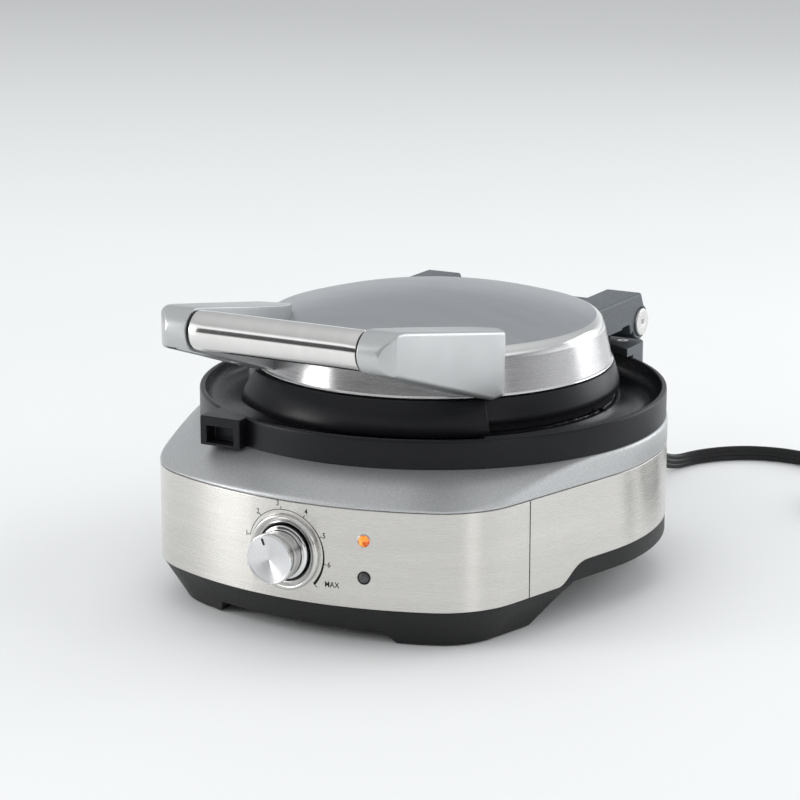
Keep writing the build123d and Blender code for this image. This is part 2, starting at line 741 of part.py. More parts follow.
with BuildPart() as upper_plate:
    with BuildSketch(level(plate_face + gap)):
        Circle(97.3)
    extrude(amount=9.6)
    with BuildSketch(level(plate_face + gap)):
        Circle(92)
    extrude(amount=rib_drop, taper=20, mode=Mode.SUBTRACT)
    with BuildSketch(level(plate_face + gap + rib_drop)):
        with Locations(*grid_cells()):
            RectangleRounded(pocket_size, pocket_size, 1.5)
    extrude(amount=4.6, taper=8, mode=Mode.SUBTRACT)
    with BuildSketch(level(plate_face + gap + 9.6)):
        Circle(91.6)
    extrude(amount=2.4)
    with BuildSketch(level(102)):
        with PolarLocations(screw_circle, 3, start_angle=90):
            Circle(1.7)
    extrude(amount=10, mode=Mode.SUBTRACT)
upper_plate.part.label = "upper_plate"
export_step(upper_plate.part, "parts/upper_plate.step")

upper_back = plate_face + gap + 12.0
with BuildPart() as upper_heater:
    add(heater(upper_back + heater_tube, 1))
upper_heater.part.label = "upper_heater"
export_step(upper_heater.part, "parts/upper_heater.step")

with BuildPart() as lid_frame:
    add(turned([(0, 116.8), (91.4, 116.8), (91.4, 115.0), (90.2, 115.0), (90.2, 115.6), (0, 115.6)]))
    with BuildSketch(level(110)):
        with Locations(*heater_ends()):
            Circle(heater_tube + 1.5)
        with PolarLocations(screw_circle, 3, start_angle=90):
            Circle(1.7)
        with Locations(*hinge_screw_places):
            Circle(1.8)
    extrude(amount=10, mode=Mode.SUBTRACT)
lid_frame.part.label = "lid_frame"
export_step(lid_frame.part, "parts/lid_frame.step")

with BuildPart() as lid_standoffs:
    with BuildSketch(level(upper_back)):
        with PolarLocations(screw_circle, 3, start_angle=90):
            Circle(4)
            Circle(1.7, mode=Mode.SUBTRACT)
    extrude(amount=115.6 - upper_back)
lid_standoffs.part.label = "lid_standoffs"
export_step(lid_standoffs.part, "parts/lid_standoffs.step")

with BuildPart() as lid_screws:
    with BuildSketch(level(103)):
        with PolarLocations(screw_circle, 3, start_angle=90):
            Circle(1.6)
    extrude(amount=15)
    with BuildSketch(level(116.8)):
        with PolarLocations(screw_circle, 3, start_angle=90):
            Circle(3.4)
    extrude(amount=2.4)
lid_screws.part.label = "lid_screws"
export_step(lid_screws.part, "parts/lid_screws.step")

# ---- Handle -------------------------------------------------------------------------------
top_slope, under_slope = radians(10.2), radians(18.5)
handle_rear = -40.0


def handle_side():
    """Side outline of a handle arm: round nose, top and underside falling to the rear."""
    nose = Vector(grip_y, grip_z)
    top_nose = nose + Vector(sin(top_slope), cos(top_slope)) * cap_radius
    under_nose = nose - Vector(sin(under_slope), cos(under_slope)) * cap_radius
    top_rear = top_nose + Vector(1, -tan(top_slope)) * (handle_rear - top_nose.X)
    under_rear = under_nose + Vector(1, -tan(under_slope)) * (handle_rear - under_nose.X)
    with BuildSketch() as outline:
        with BuildLine():
            Line(top_nose, top_rear)
            Line(top_rear, under_rear)
            Line(under_rear, under_nose)
            ThreePointArc(under_nose, (grip_y - cap_radius, grip_z), top_nose)
        make_face()
    return outline.sketch


for side, name in ((-1, "left"), (1, "right")):
    with BuildPart() as handle_arm:
        with BuildSketch(across(0)):
            add(handle_side())
        extrude(amount=side * 90)
        with BuildSketch(level(90)):
            Polygon((side * (grip_half + 0.5), -170), (side * nose_facet, -170),
                    (side * nose_facet, -165.2), (side * handle_outer_front, -159.5),
                    (side * handle_outer_rear, -60),
                    (side * (handle_outer_rear - 6), -48), (side * 60, -44), (side * 53, -62),
                    (side * (grip_half + 0.5), -110), align=None)
        extrude(amount=90, mode=Mode.INTERSECT)
        outer_edges = [e for e in handle_arm.edges() if side * e.center().X > 64 and e.length > 20]
        chamfer(outer_edges, 2.0)
        add(dome(-0.15, lid_edge - 0.1), mode=Mode.SUBTRACT)
        add(turned([(0, 90), (101, 90), (101, 104), (98.6, lid_edge + 0.1), (0, lid_edge + 0.1)]),
            mode=Mode.SUBTRACT)
        with BuildSketch(facing(-40)):
            with Locations(*handle_screw_places):
                Circle(1.6)
        extrude(amount=44, mode=Mode.SUBTRACT)
        if side < 0:
            # Deep slot under the left arm, where the storage latch folds away
            with BuildSketch(across(latch_x - 3)):
                Polygon((-103, 112), (-103, 142.5), (-134.5, 158.6), (-158.5, 159.0), (-161.2, 150),
                        (-161.2, 112), align=None)
            extrude(amount=6, mode=Mode.SUBTRACT)
            with BuildSketch(across(latch_x - 5.2)):
                with Locations((latch_y, latch_z)):
                    Circle(1.5)
            extrude(amount=10.4, mode=Mode.SUBTRACT)
        # Socket for the tie rod
        with BuildSketch(across(side * (grip_half - 1))):
            with Locations((grip_y, grip_z)):
                Circle(3.0)
        extrude(amount=side * 8.4, mode=Mode.SUBTRACT)
    handle_arm.part.label = f"handle_arm_{name}"
    export_step(handle_arm.part, f"parts/handle_arm_{name}.step")

with BuildPart() as grip_tube:
    with BuildSketch(across(-grip_half + 0.9)):
        with Locations((grip_y, grip_z)):
            Circle(grip_radius)
            Circle(grip_radius - 1.2, mode=Mode.SUBTRACT)
    extrude(amount=2 * (grip_half - 0.9))
grip_tube.part.label = "grip_tube"
export_step(grip_tube.part, "parts/grip_tube.step")

with BuildPart() as grip_rings:
    for start in (-grip_half - 0.4, grip_half - 0.8):
        with BuildSketch(across(start)):
            with Locations((grip_y, grip_z)):
                Circle(grip_radius - 0.3)
                Circle(3.1, mode=Mode.SUBTRACT)
        extrude(amount=1.2)
grip_rings.part.label = "grip_rings"
export_step(grip_rings.part, "parts/grip_rings.step")

with BuildPart() as grip_tie_rod:
    with BuildSketch(across(-grip_half - 7)):
        with Locations((grip_y, grip_z)):
            Circle(3.0)
    extrude(amount=2 * grip_half + 14)
grip_tie_rod.part.label = "grip_tie_rod"
export_step(grip_tie_rod.part, "parts/grip_tie_rod.step")

with BuildPart() as handle_screws:
    with BuildSketch(facing(-60)):
        with Locations(*handle_screw_places):
            Circle(1.55)
    extrude(amount=23)
    for x, z in handle_screw_places:
        seat = -sqrt((lid_radius - 1.0 - (z - lid_edge) * 0.215) ** 2 - (abs(x) + 2.8) ** 2)
        with BuildSketch(facing(seat + 2.2)):
            with Locations((x, z)):
                Circle(2.8)
        extrude(amount=2.0)
handle_screws.part.label = "handle_screws"
export_step(handle_screws.part, "parts/handle_screws.step")

with BuildPart() as hinge_screws:
    with BuildSketch(level(114)):
        with Locations(*hinge_screw_places):
            Circle(1.55)
    extrude(amount=13)
    with BuildSketch(level(113.4)):
        with Locations(*hinge_screw_places):
            Circle(3.2)
    extrude(amount=2.2)
hinge_screws.part.label = "hinge_screws"
export_step(hinge_screws.part, "parts/hinge_screws.step")


def stowed(points):
    """Latch outline turned a quarter turn forward, from hanging down to folded in the arm."""
    return [(latch_y + z, latch_z - y) for y, z in points]


with BuildPart() as storage_latch:
    with BuildSketch(across(latch_x - 2.5)):
        with BuildLine():
            Polyline(*stowed([(-4, 0), (-20, -26), (-20, -47.5), (-9.5, -47.5), (-9.5, -44.0), (-16, -43.5),
                              (-16, -27), (3, -2.5)]), close=True)
        make_face()
        with Locations((latch_y, latch_z)):
            Circle(4.2)
            Circle(1.56, mode=Mode.SUBTRACT)
    extrude(amount=5)
storage_latch.part.label = "storage_latch"
export_step(storage_latch.part, "parts/storage_latch.step")

with BuildPart() as latch_pin:
    with BuildSketch(across(latch_x - 5)):
        with Locations((latch_y, latch_z)):
            Circle(1.5)
    extrude(amount=10)
latch_pin.part.label = "latch_pin"
export_step(latch_pin.part, "parts/latch_pin.step")

# ---- Mains cord -------------------------------------------------------------------------------
exit_x, exit_y, exit_z = cord_route[0]

with BuildPart() as strain_relief:
    with BuildSketch(Plane(origin=(exit_x, moat_y, exit_z), x_dir=(0, 1, 0), z_dir=(1, 0, 0))):
        with BuildLine():
            Polyline((rear_reach - 6, 0), (rear_reach - 6, 7.2), (rear_reach - wall - 0.1, 7.2),
                     (rear_reach - wall - 0.1, 6.0), (rear_reach + 0.1, 6.0), (rear_reach + 0.1, 7.4),
                     (rear_reach + 2.5, 7.4), (rear_reach + 3.5, 6.6), (exit_y, 5.3), (exit_y, 0), close=True)
        make_face()
    revolve(axis=Axis((exit_x, moat_y, exit_z), (0, 1, 0)))
strain_relief.part.label = "strain_relief"
export_step(strain_relief.part, "parts/strain_relief.step")


def corner_radii(points):
    """Largest arcs that the runs allow: 0.45 of the shorter run over the tangent of half the turn."""
    corners = []
    for before, here, after in zip(points, points[1:], points[2:]):
        run_in, run_out = Vector(*here) - Vector(*before), Vector(*after) - Vector(*here)
        half_turn = radians(run_in.get_angle(run_out)) / 2
        corners.append(0.45 * min(run_in.length, run_out.length) / tan(half_turn))
    return corners


route_radii = corner_radii(cord_route)
print("cord corner radii", [round(r) for r in route_radii])
with BuildPart() as mains_cord:
    with BuildLine(Plane((0, moat_y, 0))):
        cord_path = FilletPolyline(*cord_route, radius=route_radii)
    with BuildSketch(Plane(origin=cord_path @ 0, z_dir=cord_path % 0)):
        Circle(cord_diameter / 2)
    sweep(path=cord_path)
mains_cord.part.label = "mains_cord"
export_step(mains_cord.part, "parts/mains_cord.step")
section = pi * cord_diameter ** 2 / 4
print("cord volume", round(mains_cord.part.volume), "section x length", round(section * cord_path.length),
      "length", round(cord_path.length))

coil_x, coil_y = coil_centre
tube_z = cord_route[-1][2]
coil_skin = 0.15
half_turn_width = cord_diameter / 2 + coil_skin
upper_z = tube_z + cord_diameter
tail_start = (coil_x + coil_radius, coil_y, upper_z)
tail_end = (coil_x + coil_radius, coil_y - 62.0, 11.0)
with BuildPart() as cord_coil:
    # Two turns side by side on the counter, and a part turn on top of them
    with BuildSketch(level(tube_z - half_turn_width)):
        with Locations(coil_centre):
            Circle(coil_radius + 2 * half_turn_width)
            Circle(coil_radius - 2 * half_turn_width, mode=Mode.SUBTRACT)
    extrude(amount=2 * half_turn_width)
    with BuildSketch(level(tube_z)):
        with Locations(coil_centre):
            Circle(coil_radius + half_turn_width)
            Circle(coil_radius - half_turn_width, mode=Mode.SUBTRACT)
    extrude(amount=cord_diameter + half_turn_width)
    # Lead-in to the outer turn, and the tail from the upper turn to the plug
    with BuildSketch(across(cord_route[-1][0])):
        with Locations(cord_route[-1][1:]):
            Circle(cord_diameter / 2)
    extrude(amount=coil_x - cord_route[-1][0])
    with BuildLine(Plane((0, moat_y, 0))):
        tail = Line(tail_start, tail_end)
    with BuildSketch(Plane(origin=tail @ 0, z_dir=tail % 0)):
        Circle(cord_diameter / 2)
    extrude(amount=tail.length)
cord_coil.part.label = "cord_coil"
export_step(cord_coil.part, "parts/cord_coil.step")

plug_rear, plug_nose = tail_end[1] - 0.4, tail_end[1] - 40.0
with BuildPart() as plug_body:
    with BuildSketch(facing(plug_rear)):
        with Locations((tail_end[0], tail_end[2])):
            Circle(6.5)
    with BuildSketch(facing(plug_rear - 20)):
        with Locations((tail_end[0], tail_end[2])):
            RectangleRounded(25, 20, 7)
    loft()
    with BuildSketch(facing(plug_rear - 20)):
        with Locations((tail_end[0], tail_end[2])):
            RectangleRounded(25, 20, 7)
    extrude(amount=plug_rear - 20 - plug_nose)
plug_body.part.label = "plug_body"
export_step(plug_body.part, "parts/plug_body.step")

with BuildPart() as plug_pins:
    with BuildSketch(facing(plug_nose)):
        with Locations((tail_end[0] - 6.35, tail_end[2] + 3), (tail_end[0] + 6.35, tail_end[2] + 3)):
            Rectangle(1.5, 6.3)
        with Locations((tail_end[0], tail_end[2] - 6)):
            Circle(2.4)
    extrude(amount=17)
plug_pins.part.label = "plug_pins"
export_step(plug_pins.part, "parts/plug_pins.step")
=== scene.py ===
"""Looks of the waffle maker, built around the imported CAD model.

Drawing functions take millimetres and make meshes in metres. Heights are measured from the counter,
and "about the plates" means that x and y are counted from the upright axis of the round plates.
"""
import json
from math import atan2, cos, pi, radians, sin, sqrt, tan

import bmesh
import bpy
from mathutils import Matrix, Vector

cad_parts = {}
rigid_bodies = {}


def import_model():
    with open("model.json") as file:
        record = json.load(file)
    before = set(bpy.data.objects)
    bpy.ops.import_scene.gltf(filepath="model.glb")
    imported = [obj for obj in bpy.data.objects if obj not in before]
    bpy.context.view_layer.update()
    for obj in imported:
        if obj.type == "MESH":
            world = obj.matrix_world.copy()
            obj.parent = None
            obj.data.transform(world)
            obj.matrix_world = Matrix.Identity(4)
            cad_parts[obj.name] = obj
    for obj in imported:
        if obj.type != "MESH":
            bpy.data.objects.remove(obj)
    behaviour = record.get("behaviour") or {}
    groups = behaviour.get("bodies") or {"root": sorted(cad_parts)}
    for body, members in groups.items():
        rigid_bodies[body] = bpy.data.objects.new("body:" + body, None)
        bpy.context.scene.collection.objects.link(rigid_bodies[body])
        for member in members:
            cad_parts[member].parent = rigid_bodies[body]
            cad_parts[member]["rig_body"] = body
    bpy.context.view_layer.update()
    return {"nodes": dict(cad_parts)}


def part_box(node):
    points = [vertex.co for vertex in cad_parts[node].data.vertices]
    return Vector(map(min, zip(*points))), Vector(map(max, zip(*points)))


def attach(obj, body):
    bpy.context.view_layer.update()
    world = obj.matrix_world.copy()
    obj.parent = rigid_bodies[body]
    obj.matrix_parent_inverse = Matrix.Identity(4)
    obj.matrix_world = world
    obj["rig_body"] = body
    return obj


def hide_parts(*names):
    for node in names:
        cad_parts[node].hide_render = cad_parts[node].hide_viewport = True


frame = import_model()
MM = 0.001
QUARTER_TURN = 0.25
SIDES = ((-1, "left"), (1, "right"))


def middle(node):
    """Centre of a CAD node's box in millimetres."""
    low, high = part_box(node)
    return (low + high) * 0.5 / MM


def span(node):
    """Lowest and highest corner of a CAD node in millimetres."""
    low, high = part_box(node)
    return low / MM, high / MM


plate_y = middle("lower_plate").y
dial_centre = middle("dial_bezel")
grip_centre = middle("grip_tube")
pin_centre = middle("hinge_pin_right")

# ---- Camera -----------------------------------------------------------------------------------
camera_place = Vector((0.6679, -1.2091, 0.4425))
camera_pitch = radians(14.16)
camera_turn = radians(29.25)
camera_data = bpy.data.cameras.new("camera")
camera_data.lens = 120.4
camera_data.sensor_width = 36.0
camera = bpy.data.objects.new("camera", camera_data)
look = Vector((-sin(camera_turn) * cos(camera_pitch), cos(camera_turn) * cos(camera_pitch),
               -sin(camera_pitch)))
camera.rotation_mode = "QUATERNION"
camera.rotation_quaternion = look.to_track_quat("-Z", "Y")
camera.location = camera_place
bpy.context.scene.collection.objects.link(camera)
bpy.context.scene.camera = camera


# ---- Materials --------------------------------------------------------------------------------
class Surface:
    """A node material with short calls for grain, relief and tone."""

    def __init__(self, name, colour, rough, metal=0.0, **constants):
        self.material = bpy.data.materials.new(name)
        self.material.use_nodes = True
        self.nodes = self.material.node_tree.nodes
        self.links = self.material.node_tree.links
        self.shader = self.nodes["Principled BSDF"]
        self.colour = colour
        self.shader.inputs["Base Color"].default_value = (*colour, 1)
        self.shader.inputs["Roughness"].default_value = rough
        self.shader.inputs["Metallic"].default_value = metal
        for socket, value in constants.items():
            self.shader.inputs[socket.replace("_", " ")].default_value = value
        self.place = self.nodes.new("ShaderNodeTexCoord").outputs["Object"]
        self.height = None

    def noise(self, scale, detail=3.0, place=None):
        """Noise whose grain has the given density per metre along x, y and z."""
        mapping = self.nodes.new("ShaderNodeMapping")
        mapping.inputs["Scale"].default_value = scale
        self.links.new(place or self.place, mapping.inputs["Vector"])
        noise = self.nodes.new("ShaderNodeTexNoise")
        noise.inputs["Scale"].default_value = 1.0
        noise.inputs["Detail"].default_value = detail
        self.links.new(mapping.outputs["Vector"], noise.inputs["Vector"])
        return noise.outputs["Fac"]

    def ranged(self, fac, low, high, start=0.3, end=0.7):
        """A noise value stretched between two numbers."""
        node = self.nodes.new("ShaderNodeMapRange")
        node.inputs["From Min"].default_value = start
        node.inputs["From Max"].default_value = end
        node.inputs["To Min"].default_value = low
        node.inputs["To Max"].default_value = high
        self.links.new(fac, node.inputs["Value"])
        return node.outputs["Result"]

    def tone(self, fac, dark, light, start=0.3, end=0.7):
        """Base colour that varies between two brightnesses of the material's colour."""
        ramp = self.nodes.new("ShaderNodeValToRGB")
        ramp.color_ramp.elements[0].position = start
        ramp.color_ramp.elements[0].color = (*[c * dark for c in self.colour], 1)
        ramp.color_ramp.elements[1].position = end
        ramp.color_ramp.elements[1].color = (*[min(1.0, c * light) for c in self.colour], 1)
        self.links.new(fac, ramp.inputs["Fac"])
        self.links.new(ramp.outputs["Color"], self.shader.inputs["Base Color"])

    def gloss(self, fac, low, high):
        """Roughness that varies between two values."""
        self.links.new(self.ranged(fac, low, high), self.shader.inputs["Roughness"])

    def relief(self, fac, depth, strength=1.0):
        """Fine surface relief, depth in metres."""
        bump = self.nodes.new("ShaderNodeBump")
        bump.inputs["Strength"].default_value = strength
        bump.inputs["Distance"].default_value = depth
        self.links.new(fac, bump.inputs["Height"])
        if self.height is not None:
            self.links.new(self.height, bump.inputs["Normal"])
        self.height = bump.outputs["Normal"]
        self.links.new(self.height, self.shader.inputs["Normal"])

    def combed(self, axis):
        """Stretches highlights across the direction in which the metal is brushed."""
        tangent = self.nodes.new("ShaderNodeTangent")
        tangent.direction_type = "RADIAL"
        tangent.axis = axis
        self.links.new(tangent.outputs["Tangent"], self.shader.inputs["Tangent"])
        self.shader.inputs["Anisotropic Rotation"].default_value = QUARTER_TURN


def brushed(name, colour, rough, scale, depth, combing, axis="Z"):
    """Stainless sheet with fine scratches; scale is their density per metre along x, y and z."""
    steel = Surface(name, colour, rough, metal=1.0, Anisotropic=combing)
    lines = steel.noise(scale, detail=2)
    steel.gloss(lines, rough - 0.02, rough + 0.025)
    steel.relief(lines, depth)
    clouds = steel.noise([110 if density > 1000 else 9 for density in scale], detail=4)
    steel.tone(clouds, 0.965, 1.03)
    steel.combed(axis)
    return steel.material


def plain_metal(name, colour, rough, grain=900, depth=2e-6, metal=1.0):
    """Metal with a fine even grain."""
    surface = Surface(name, colour, rough, metal=metal)
    fine = surface.noise([grain] * 3, detail=4)
    surface.gloss(fine, rough * 0.85, rough * 1.15)
    if depth:
        surface.relief(fine, depth)
    surface.tone(surface.noise([25] * 3), 0.94, 1.04)
    return surface.material


def coating(name, colour, rough, grain=1500, depth=1.2e-5, flecks=(0.8, 1.35), **constants):
    """Sprayed coating with a fine orange-peel speckle, for non-stick metal and satin paint."""
    surface = Surface(name, colour, rough, **constants)
    fine = surface.noise([grain] * 3, detail=2)
    surface.relief(fine, depth)
    surface.gloss(fine, rough - 0.05, rough + 0.08)
    surface.tone(surface.noise([grain * 0.6] * 3, detail=4), *flecks)
    return surface.material


def moulded(name, colour, rough, grain=700, depth=1.5e-5, **constants):
    """Moulded plastic or rubber with a light texture."""
    surface = Surface(name, colour, rough, **constants)
    fine = surface.noise([grain] * 3, detail=3)
    surface.relief(fine, depth)
    surface.gloss(fine, rough - 0.05, rough + 0.07)
    surface.tone(surface.noise([40] * 3), 0.88, 1.12)
    return surface.material


def spun_face(name, colour, rough, centre, depth=1.5e-6):
    """Turned aluminium whose marks run round the dial's axis."""
    surface = Surface(name, colour, rough, metal=1.0, Anisotropic=0.85)
    shift = surface.nodes.new("ShaderNodeMapping")
    shift.inputs["Location"].default_value = (-centre[0], 0, -centre[2])
    surface.links.new(surface.place, shift.inputs["Vector"])
    parts = surface.nodes.new("ShaderNodeSeparateXYZ")
    surface.links.new(shift.outputs["Vector"], parts.inputs["Vector"])
    flat = surface.nodes.new("ShaderNodeCombineXYZ")
    surface.links.new(parts.outputs["X"], flat.inputs["X"])
    surface.links.new(parts.outputs["Z"], flat.inputs["Z"])
    rings = surface.nodes.new("ShaderNodeVectorMath")
    rings.operation = "LENGTH"
    surface.links.new(flat.outputs["Vector"], rings.inputs[0])
    radius = surface.nodes.new("ShaderNodeCombineXYZ")
    surface.links.new(rings.outputs["Value"], radius.inputs["X"])
    lines = surface.noise((5500, 1, 1), detail=3, place=radius.outputs["Vector"])
    surface.relief(lines, depth)
    surface.gloss(lines, rough - 0.06, rough + 0.08)
    cross = surface.nodes.new("ShaderNodeVectorMath")
    cross.operation = "CROSS_PRODUCT"
    cross.inputs[1].default_value = (0, 1, 0)
    surface.links.new(flat.outputs["Vector"], cross.inputs[0])
    unit = surface.nodes.new("ShaderNodeVectorMath")
    unit.operation = "NORMALIZE"
    surface.links.new(cross.outputs["Vector"], unit.inputs[0])
    surface.links.new(unit.outputs["Vector"], surface.shader.inputs["Tangent"])
    surface.shader.inputs["Anisotropic Rotation"].default_value = QUARTER_TURN
    return surface.material


def lens(name, colour, glow):
    """Small translucent lamp lens, lit from inside if glow is above 0."""
    surface = Surface(name, colour, 0.18, Coat_Weight=0.4)
    facets = surface.noise([420] * 3, detail=1)
    surface.relief(facets, 2e-4, 0.6)
    surface.tone(facets, 0.35 if glow else 0.8, 1.3)
    surface.shader.inputs["Emission Strength"].default_value = glow
    if glow:
        ramp = surface.nodes.new("ShaderNodeValToRGB")
        ramp.color_ramp.elements[0].position = 0.42
        ramp.color_ramp.elements[0].color = (0.45, 0.03, 0.002, 1)
        ramp.color_ramp.elements[1].position = 0.66
        ramp.color_ramp.elements[1].color = (1.0, 0.38, 0.06, 1)
        surface.links.new(facets, ramp.inputs["Fac"])
        surface.links.new(ramp.outputs["Color"], surface.shader.inputs["Emission Color"])
    return surface.material


steel_band = brushed("brushed band", (0.70, 0.68, 0.645), 0.27, (30, 30, 3400), depth=6e-7, combing=0.8)
steel_wall = brushed("brushed lid wall", (0.56, 0.55, 0.555), 0.27, (40, 40, 3000), depth=8e-7, combing=0.7)
steel_crown = brushed("brushed lid crown", (0.50, 0.515, 0.535), 0.36, (40, 2600, 2600), depth=8e-7,
                      combing=0.2)
steel_bright = plain_metal("polished edge", (0.88, 0.88, 0.87), 0.16, depth=0)
steel_tube = brushed("polished grip", (0.80, 0.79, 0.77), 0.12, (3500, 60, 60), depth=1e-7, combing=0.3,
                     axis="X")
cover_silver = coating("satin silver cover", (0.56, 0.57, 0.575), 0.42, grain=1900, depth=1.2e-5,
                       flecks=(0.88, 1.12), Metallic=0.75)
cast_silver = plain_metal("cast silver", (0.57, 0.582, 0.585), 0.36, grain=1800, depth=5e-6, metal=0.75)
hinge_grey = coating("hinge blue grey", (0.075, 0.088, 0.10), 0.40, grain=1200)
nonstick = coating("non-stick coating", (0.0065, 0.0067, 0.0085), 0.34, Specular_IOR_Level=0.25)
trough_coat = coating("trough coating", (0.006, 0.0065, 0.008), 0.27, depth=2e-6, Specular_IOR_Level=0.42)
plate_coat = coating("plate coating", (0.010, 0.010, 0.012), 0.32, Specular_IOR_Level=0.45)
base_black = moulded("base plastic", (0.0075, 0.0075, 0.008), 0.44, Specular_IOR_Level=0.34)
black_satin = moulded("black satin plastic", (0.009, 0.009, 0.010), 0.36, Specular_IOR_Level=0.4)
black_gloss = moulded("black gloss", (0.004, 0.004, 0.004), 0.16, depth=2e-6)
foot_rubber = moulded("foot rubber", (0.012, 0.012, 0.012), 0.7, grain=1500, Specular_IOR_Level=0.3)
cord_rubber = moulded("cord sheath", (0.006, 0.006, 0.007), 0.36, grain=1400, depth=6e-6,
                      Specular_IOR_Level=0.4)
chrome = plain_metal("chrome", (0.80, 0.80, 0.80), 0.10, depth=0)
satin_chrome = plain_metal("satin chrome", (0.70, 0.69, 0.67), 0.22, depth=0)
pin_steel = plain_metal("pin steel", (0.74, 0.73, 0.71), 0.3)
zinc = plain_metal("zinc plated sheet", (0.55, 0.56, 0.57), 0.36)
screw_metal = plain_metal("screw steel", (0.58, 0.58, 0.60), 0.28)
sheath = plain_metal("heater sheath", (0.24, 0.21, 0.19), 0.5)
nylon = moulded("natural nylon", (0.70, 0.69, 0.64), 0.5)
board = moulded("circuit board", (0.02, 0.12, 0.06), 0.4)
brass = plain_metal("plated blades", (0.74, 0.70, 0.60), 0.25)
print_black = moulded("black print", (0.010, 0.010, 0.010), 0.6, Specular_IOR_Level=0.2)
spun = spun_face("spun knob face", (0.78, 0.78, 0.79), 0.3, dial_centre * MM)
amber = lens("amber lens", (0.85, 0.20, 0.012), 0.75)
smoke = lens("smoke lens", (0.05, 0.05, 0.055), 0.0)
led_clear = moulded("clear led", (0.8, 0.8, 0.76), 0.2)


# ---- Mesh tools -------------------------------------------------------------------------------
def finished(name, mesh, body, material, replaces=(), sharp=32):
    """Object from a mesh, smooth but for its sharp edges, on its body."""
    mesh.validate()
    mesh.polygons.foreach_set("use_smooth", [True] * len(mesh.polygons))
    mesh.set_sharp_from_angle(angle=radians(sharp))
    mesh.materials.append(material)
    piece = bpy.data.objects.new(name, mesh)
    bpy.context.scene.collection.objects.link(piece)
    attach(piece, body)
    if replaces:
        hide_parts(*replaces)
    return piece


def bezier(points, steps=12):
    """Points along a Bezier curve of any degree."""
    line = []
    for k in range(steps + 1):
        level = [Vector(p) for p in points]
        while len(level) > 1:
            level = [a.lerp(b, k / steps) for a, b in zip(level, level[1:])]
        line.append(tuple(level[0]))
    return line


# Places for the lathe: each matrix takes the lathe's axis, its local Z, to where the piece stands.
panel_front = span("front_fascia")[0].y
UPRIGHT = Matrix.Translation((0, plate_y, 0))
DIAL = Matrix(((1, 0, 0, dial_centre.x), (0, 0, -1, panel_front), (0, 1, 0, dial_centre.z), (0, 0, 0, 1)))
GRIP = Matrix(((0, 0, 1, 0), (1, 0, 0, grip_centre.y), (0, 1, 0, grip_centre.z), (0, 0, 0, 1)))


def lying(side):
    """Matrix that lays a lathe's axis along the hinge pins: side 1 to the right, -1 to the left."""
    return Matrix(((0, 0, side, 0), (side, 0, 0, pin_centre.y), (0, 1, 0, pin_centre.z), (0, 0, 0, 1)))


def meshed(bm, name):
    """Mesh from a bmesh, with its faces turned outward."""
    bmesh.ops.recalc_face_normals(bm, faces=bm.faces)
    mesh = bpy.data.meshes.new(name)
    bm.to_mesh(mesh)
    bm.free()
    return mesh


def looped(rings, name, closed=True, unit=MM):
    """Mesh between rings of points; closed joins the last ring to the first, else both ends are capped."""
    bm = bmesh.new()
    made = [[bm.verts.new(Vector(p) * unit) for p in ring] for ring in rings]
    pairs = list(zip(made, made[1:])) + ([(made[-1], made[0])] if closed else [])
    for ring, following in pairs:
        for i in range(len(ring)):
            j = (i + 1) % len(ring)
            bm.faces.new((ring[i], ring[j], following[j], following[i]))
    if not closed:
        bm.faces.new(list(reversed(made[0])))
        bm.faces.new(made[-1])
    bmesh.ops.remove_doubles(bm, verts=bm.verts, dist=1e-6)
    bmesh.ops.dissolve_degenerate(bm, dist=1e-6, edges=bm.edges)
    return meshed(bm, name)


def lathe(outline, place=UPRIGHT, steps=256, materials=None):
    """Mesh turned from a closed (radius, height) outline; materials gives a slot for each edge of it."""
    bm = bmesh.new()
    rings = []
    for k in range(steps):
        a = 2 * pi * k / steps
        rings.append([bm.verts.new(place @ Vector((r * cos(a), r * sin(a), z)) * MM) for r, z in outline])
    count = len(outline)
    for k in range(steps):
        ring, following = rings[k], rings[(k + 1) % steps]
        for i in range(count):
            j = (i + 1) % count
            if outline[i][0] < 1e-6 and outline[j][0] < 1e-6:
                continue
            face = bm.faces.new((ring[i], following[i], following[j], ring[j]))
            face.material_index = materials[i] if materials else 0
    bmesh.ops.remove_doubles(bm, verts=bm.verts, dist=1e-7)
    return meshed(bm, "turned")


def rounded(piece, width, segments=3, angle=28, clamp=False):
    """Rounds a piece's edges that turn by more than an angle in degrees."""
    rounding = piece.modifiers.new("rounding", "BEVEL")
    rounding.width = width * MM
    rounding.segments = segments
    rounding.limit_method = "ANGLE"
    rounding.angle_limit = radians(angle)
    rounding.harden_normals = True
    rounding.use_clamp_overlap = clamp


def refined(node, material, bevel):
    """Closed copy of a CAD node with whole flat faces and rounded edges, in place of the node."""
    mesh = frame["nodes"][node].data.copy()
    bm = bmesh.new()
    bm.from_mesh(mesh)
    bmesh.ops.remove_doubles(bm, verts=bm.verts, dist=2e-6)
    bmesh.ops.dissolve_limit(bm, angle_limit=radians(0.4), verts=bm.verts, edges=bm.edges)
    bm.to_mesh(mesh)
    bm.free()
    mesh.materials.clear()
    body = frame["nodes"][node]["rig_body"]
    piece = finished(node + "_skin", mesh, body, material, (node,))
    if bevel:
        rounded(piece, bevel)


def painted(material, *nodes):
    """Gives CAD nodes a material."""
    for node in nodes:
        mesh = frame["nodes"][node].data
        mesh.materials.clear()
        mesh.materials.append(material)


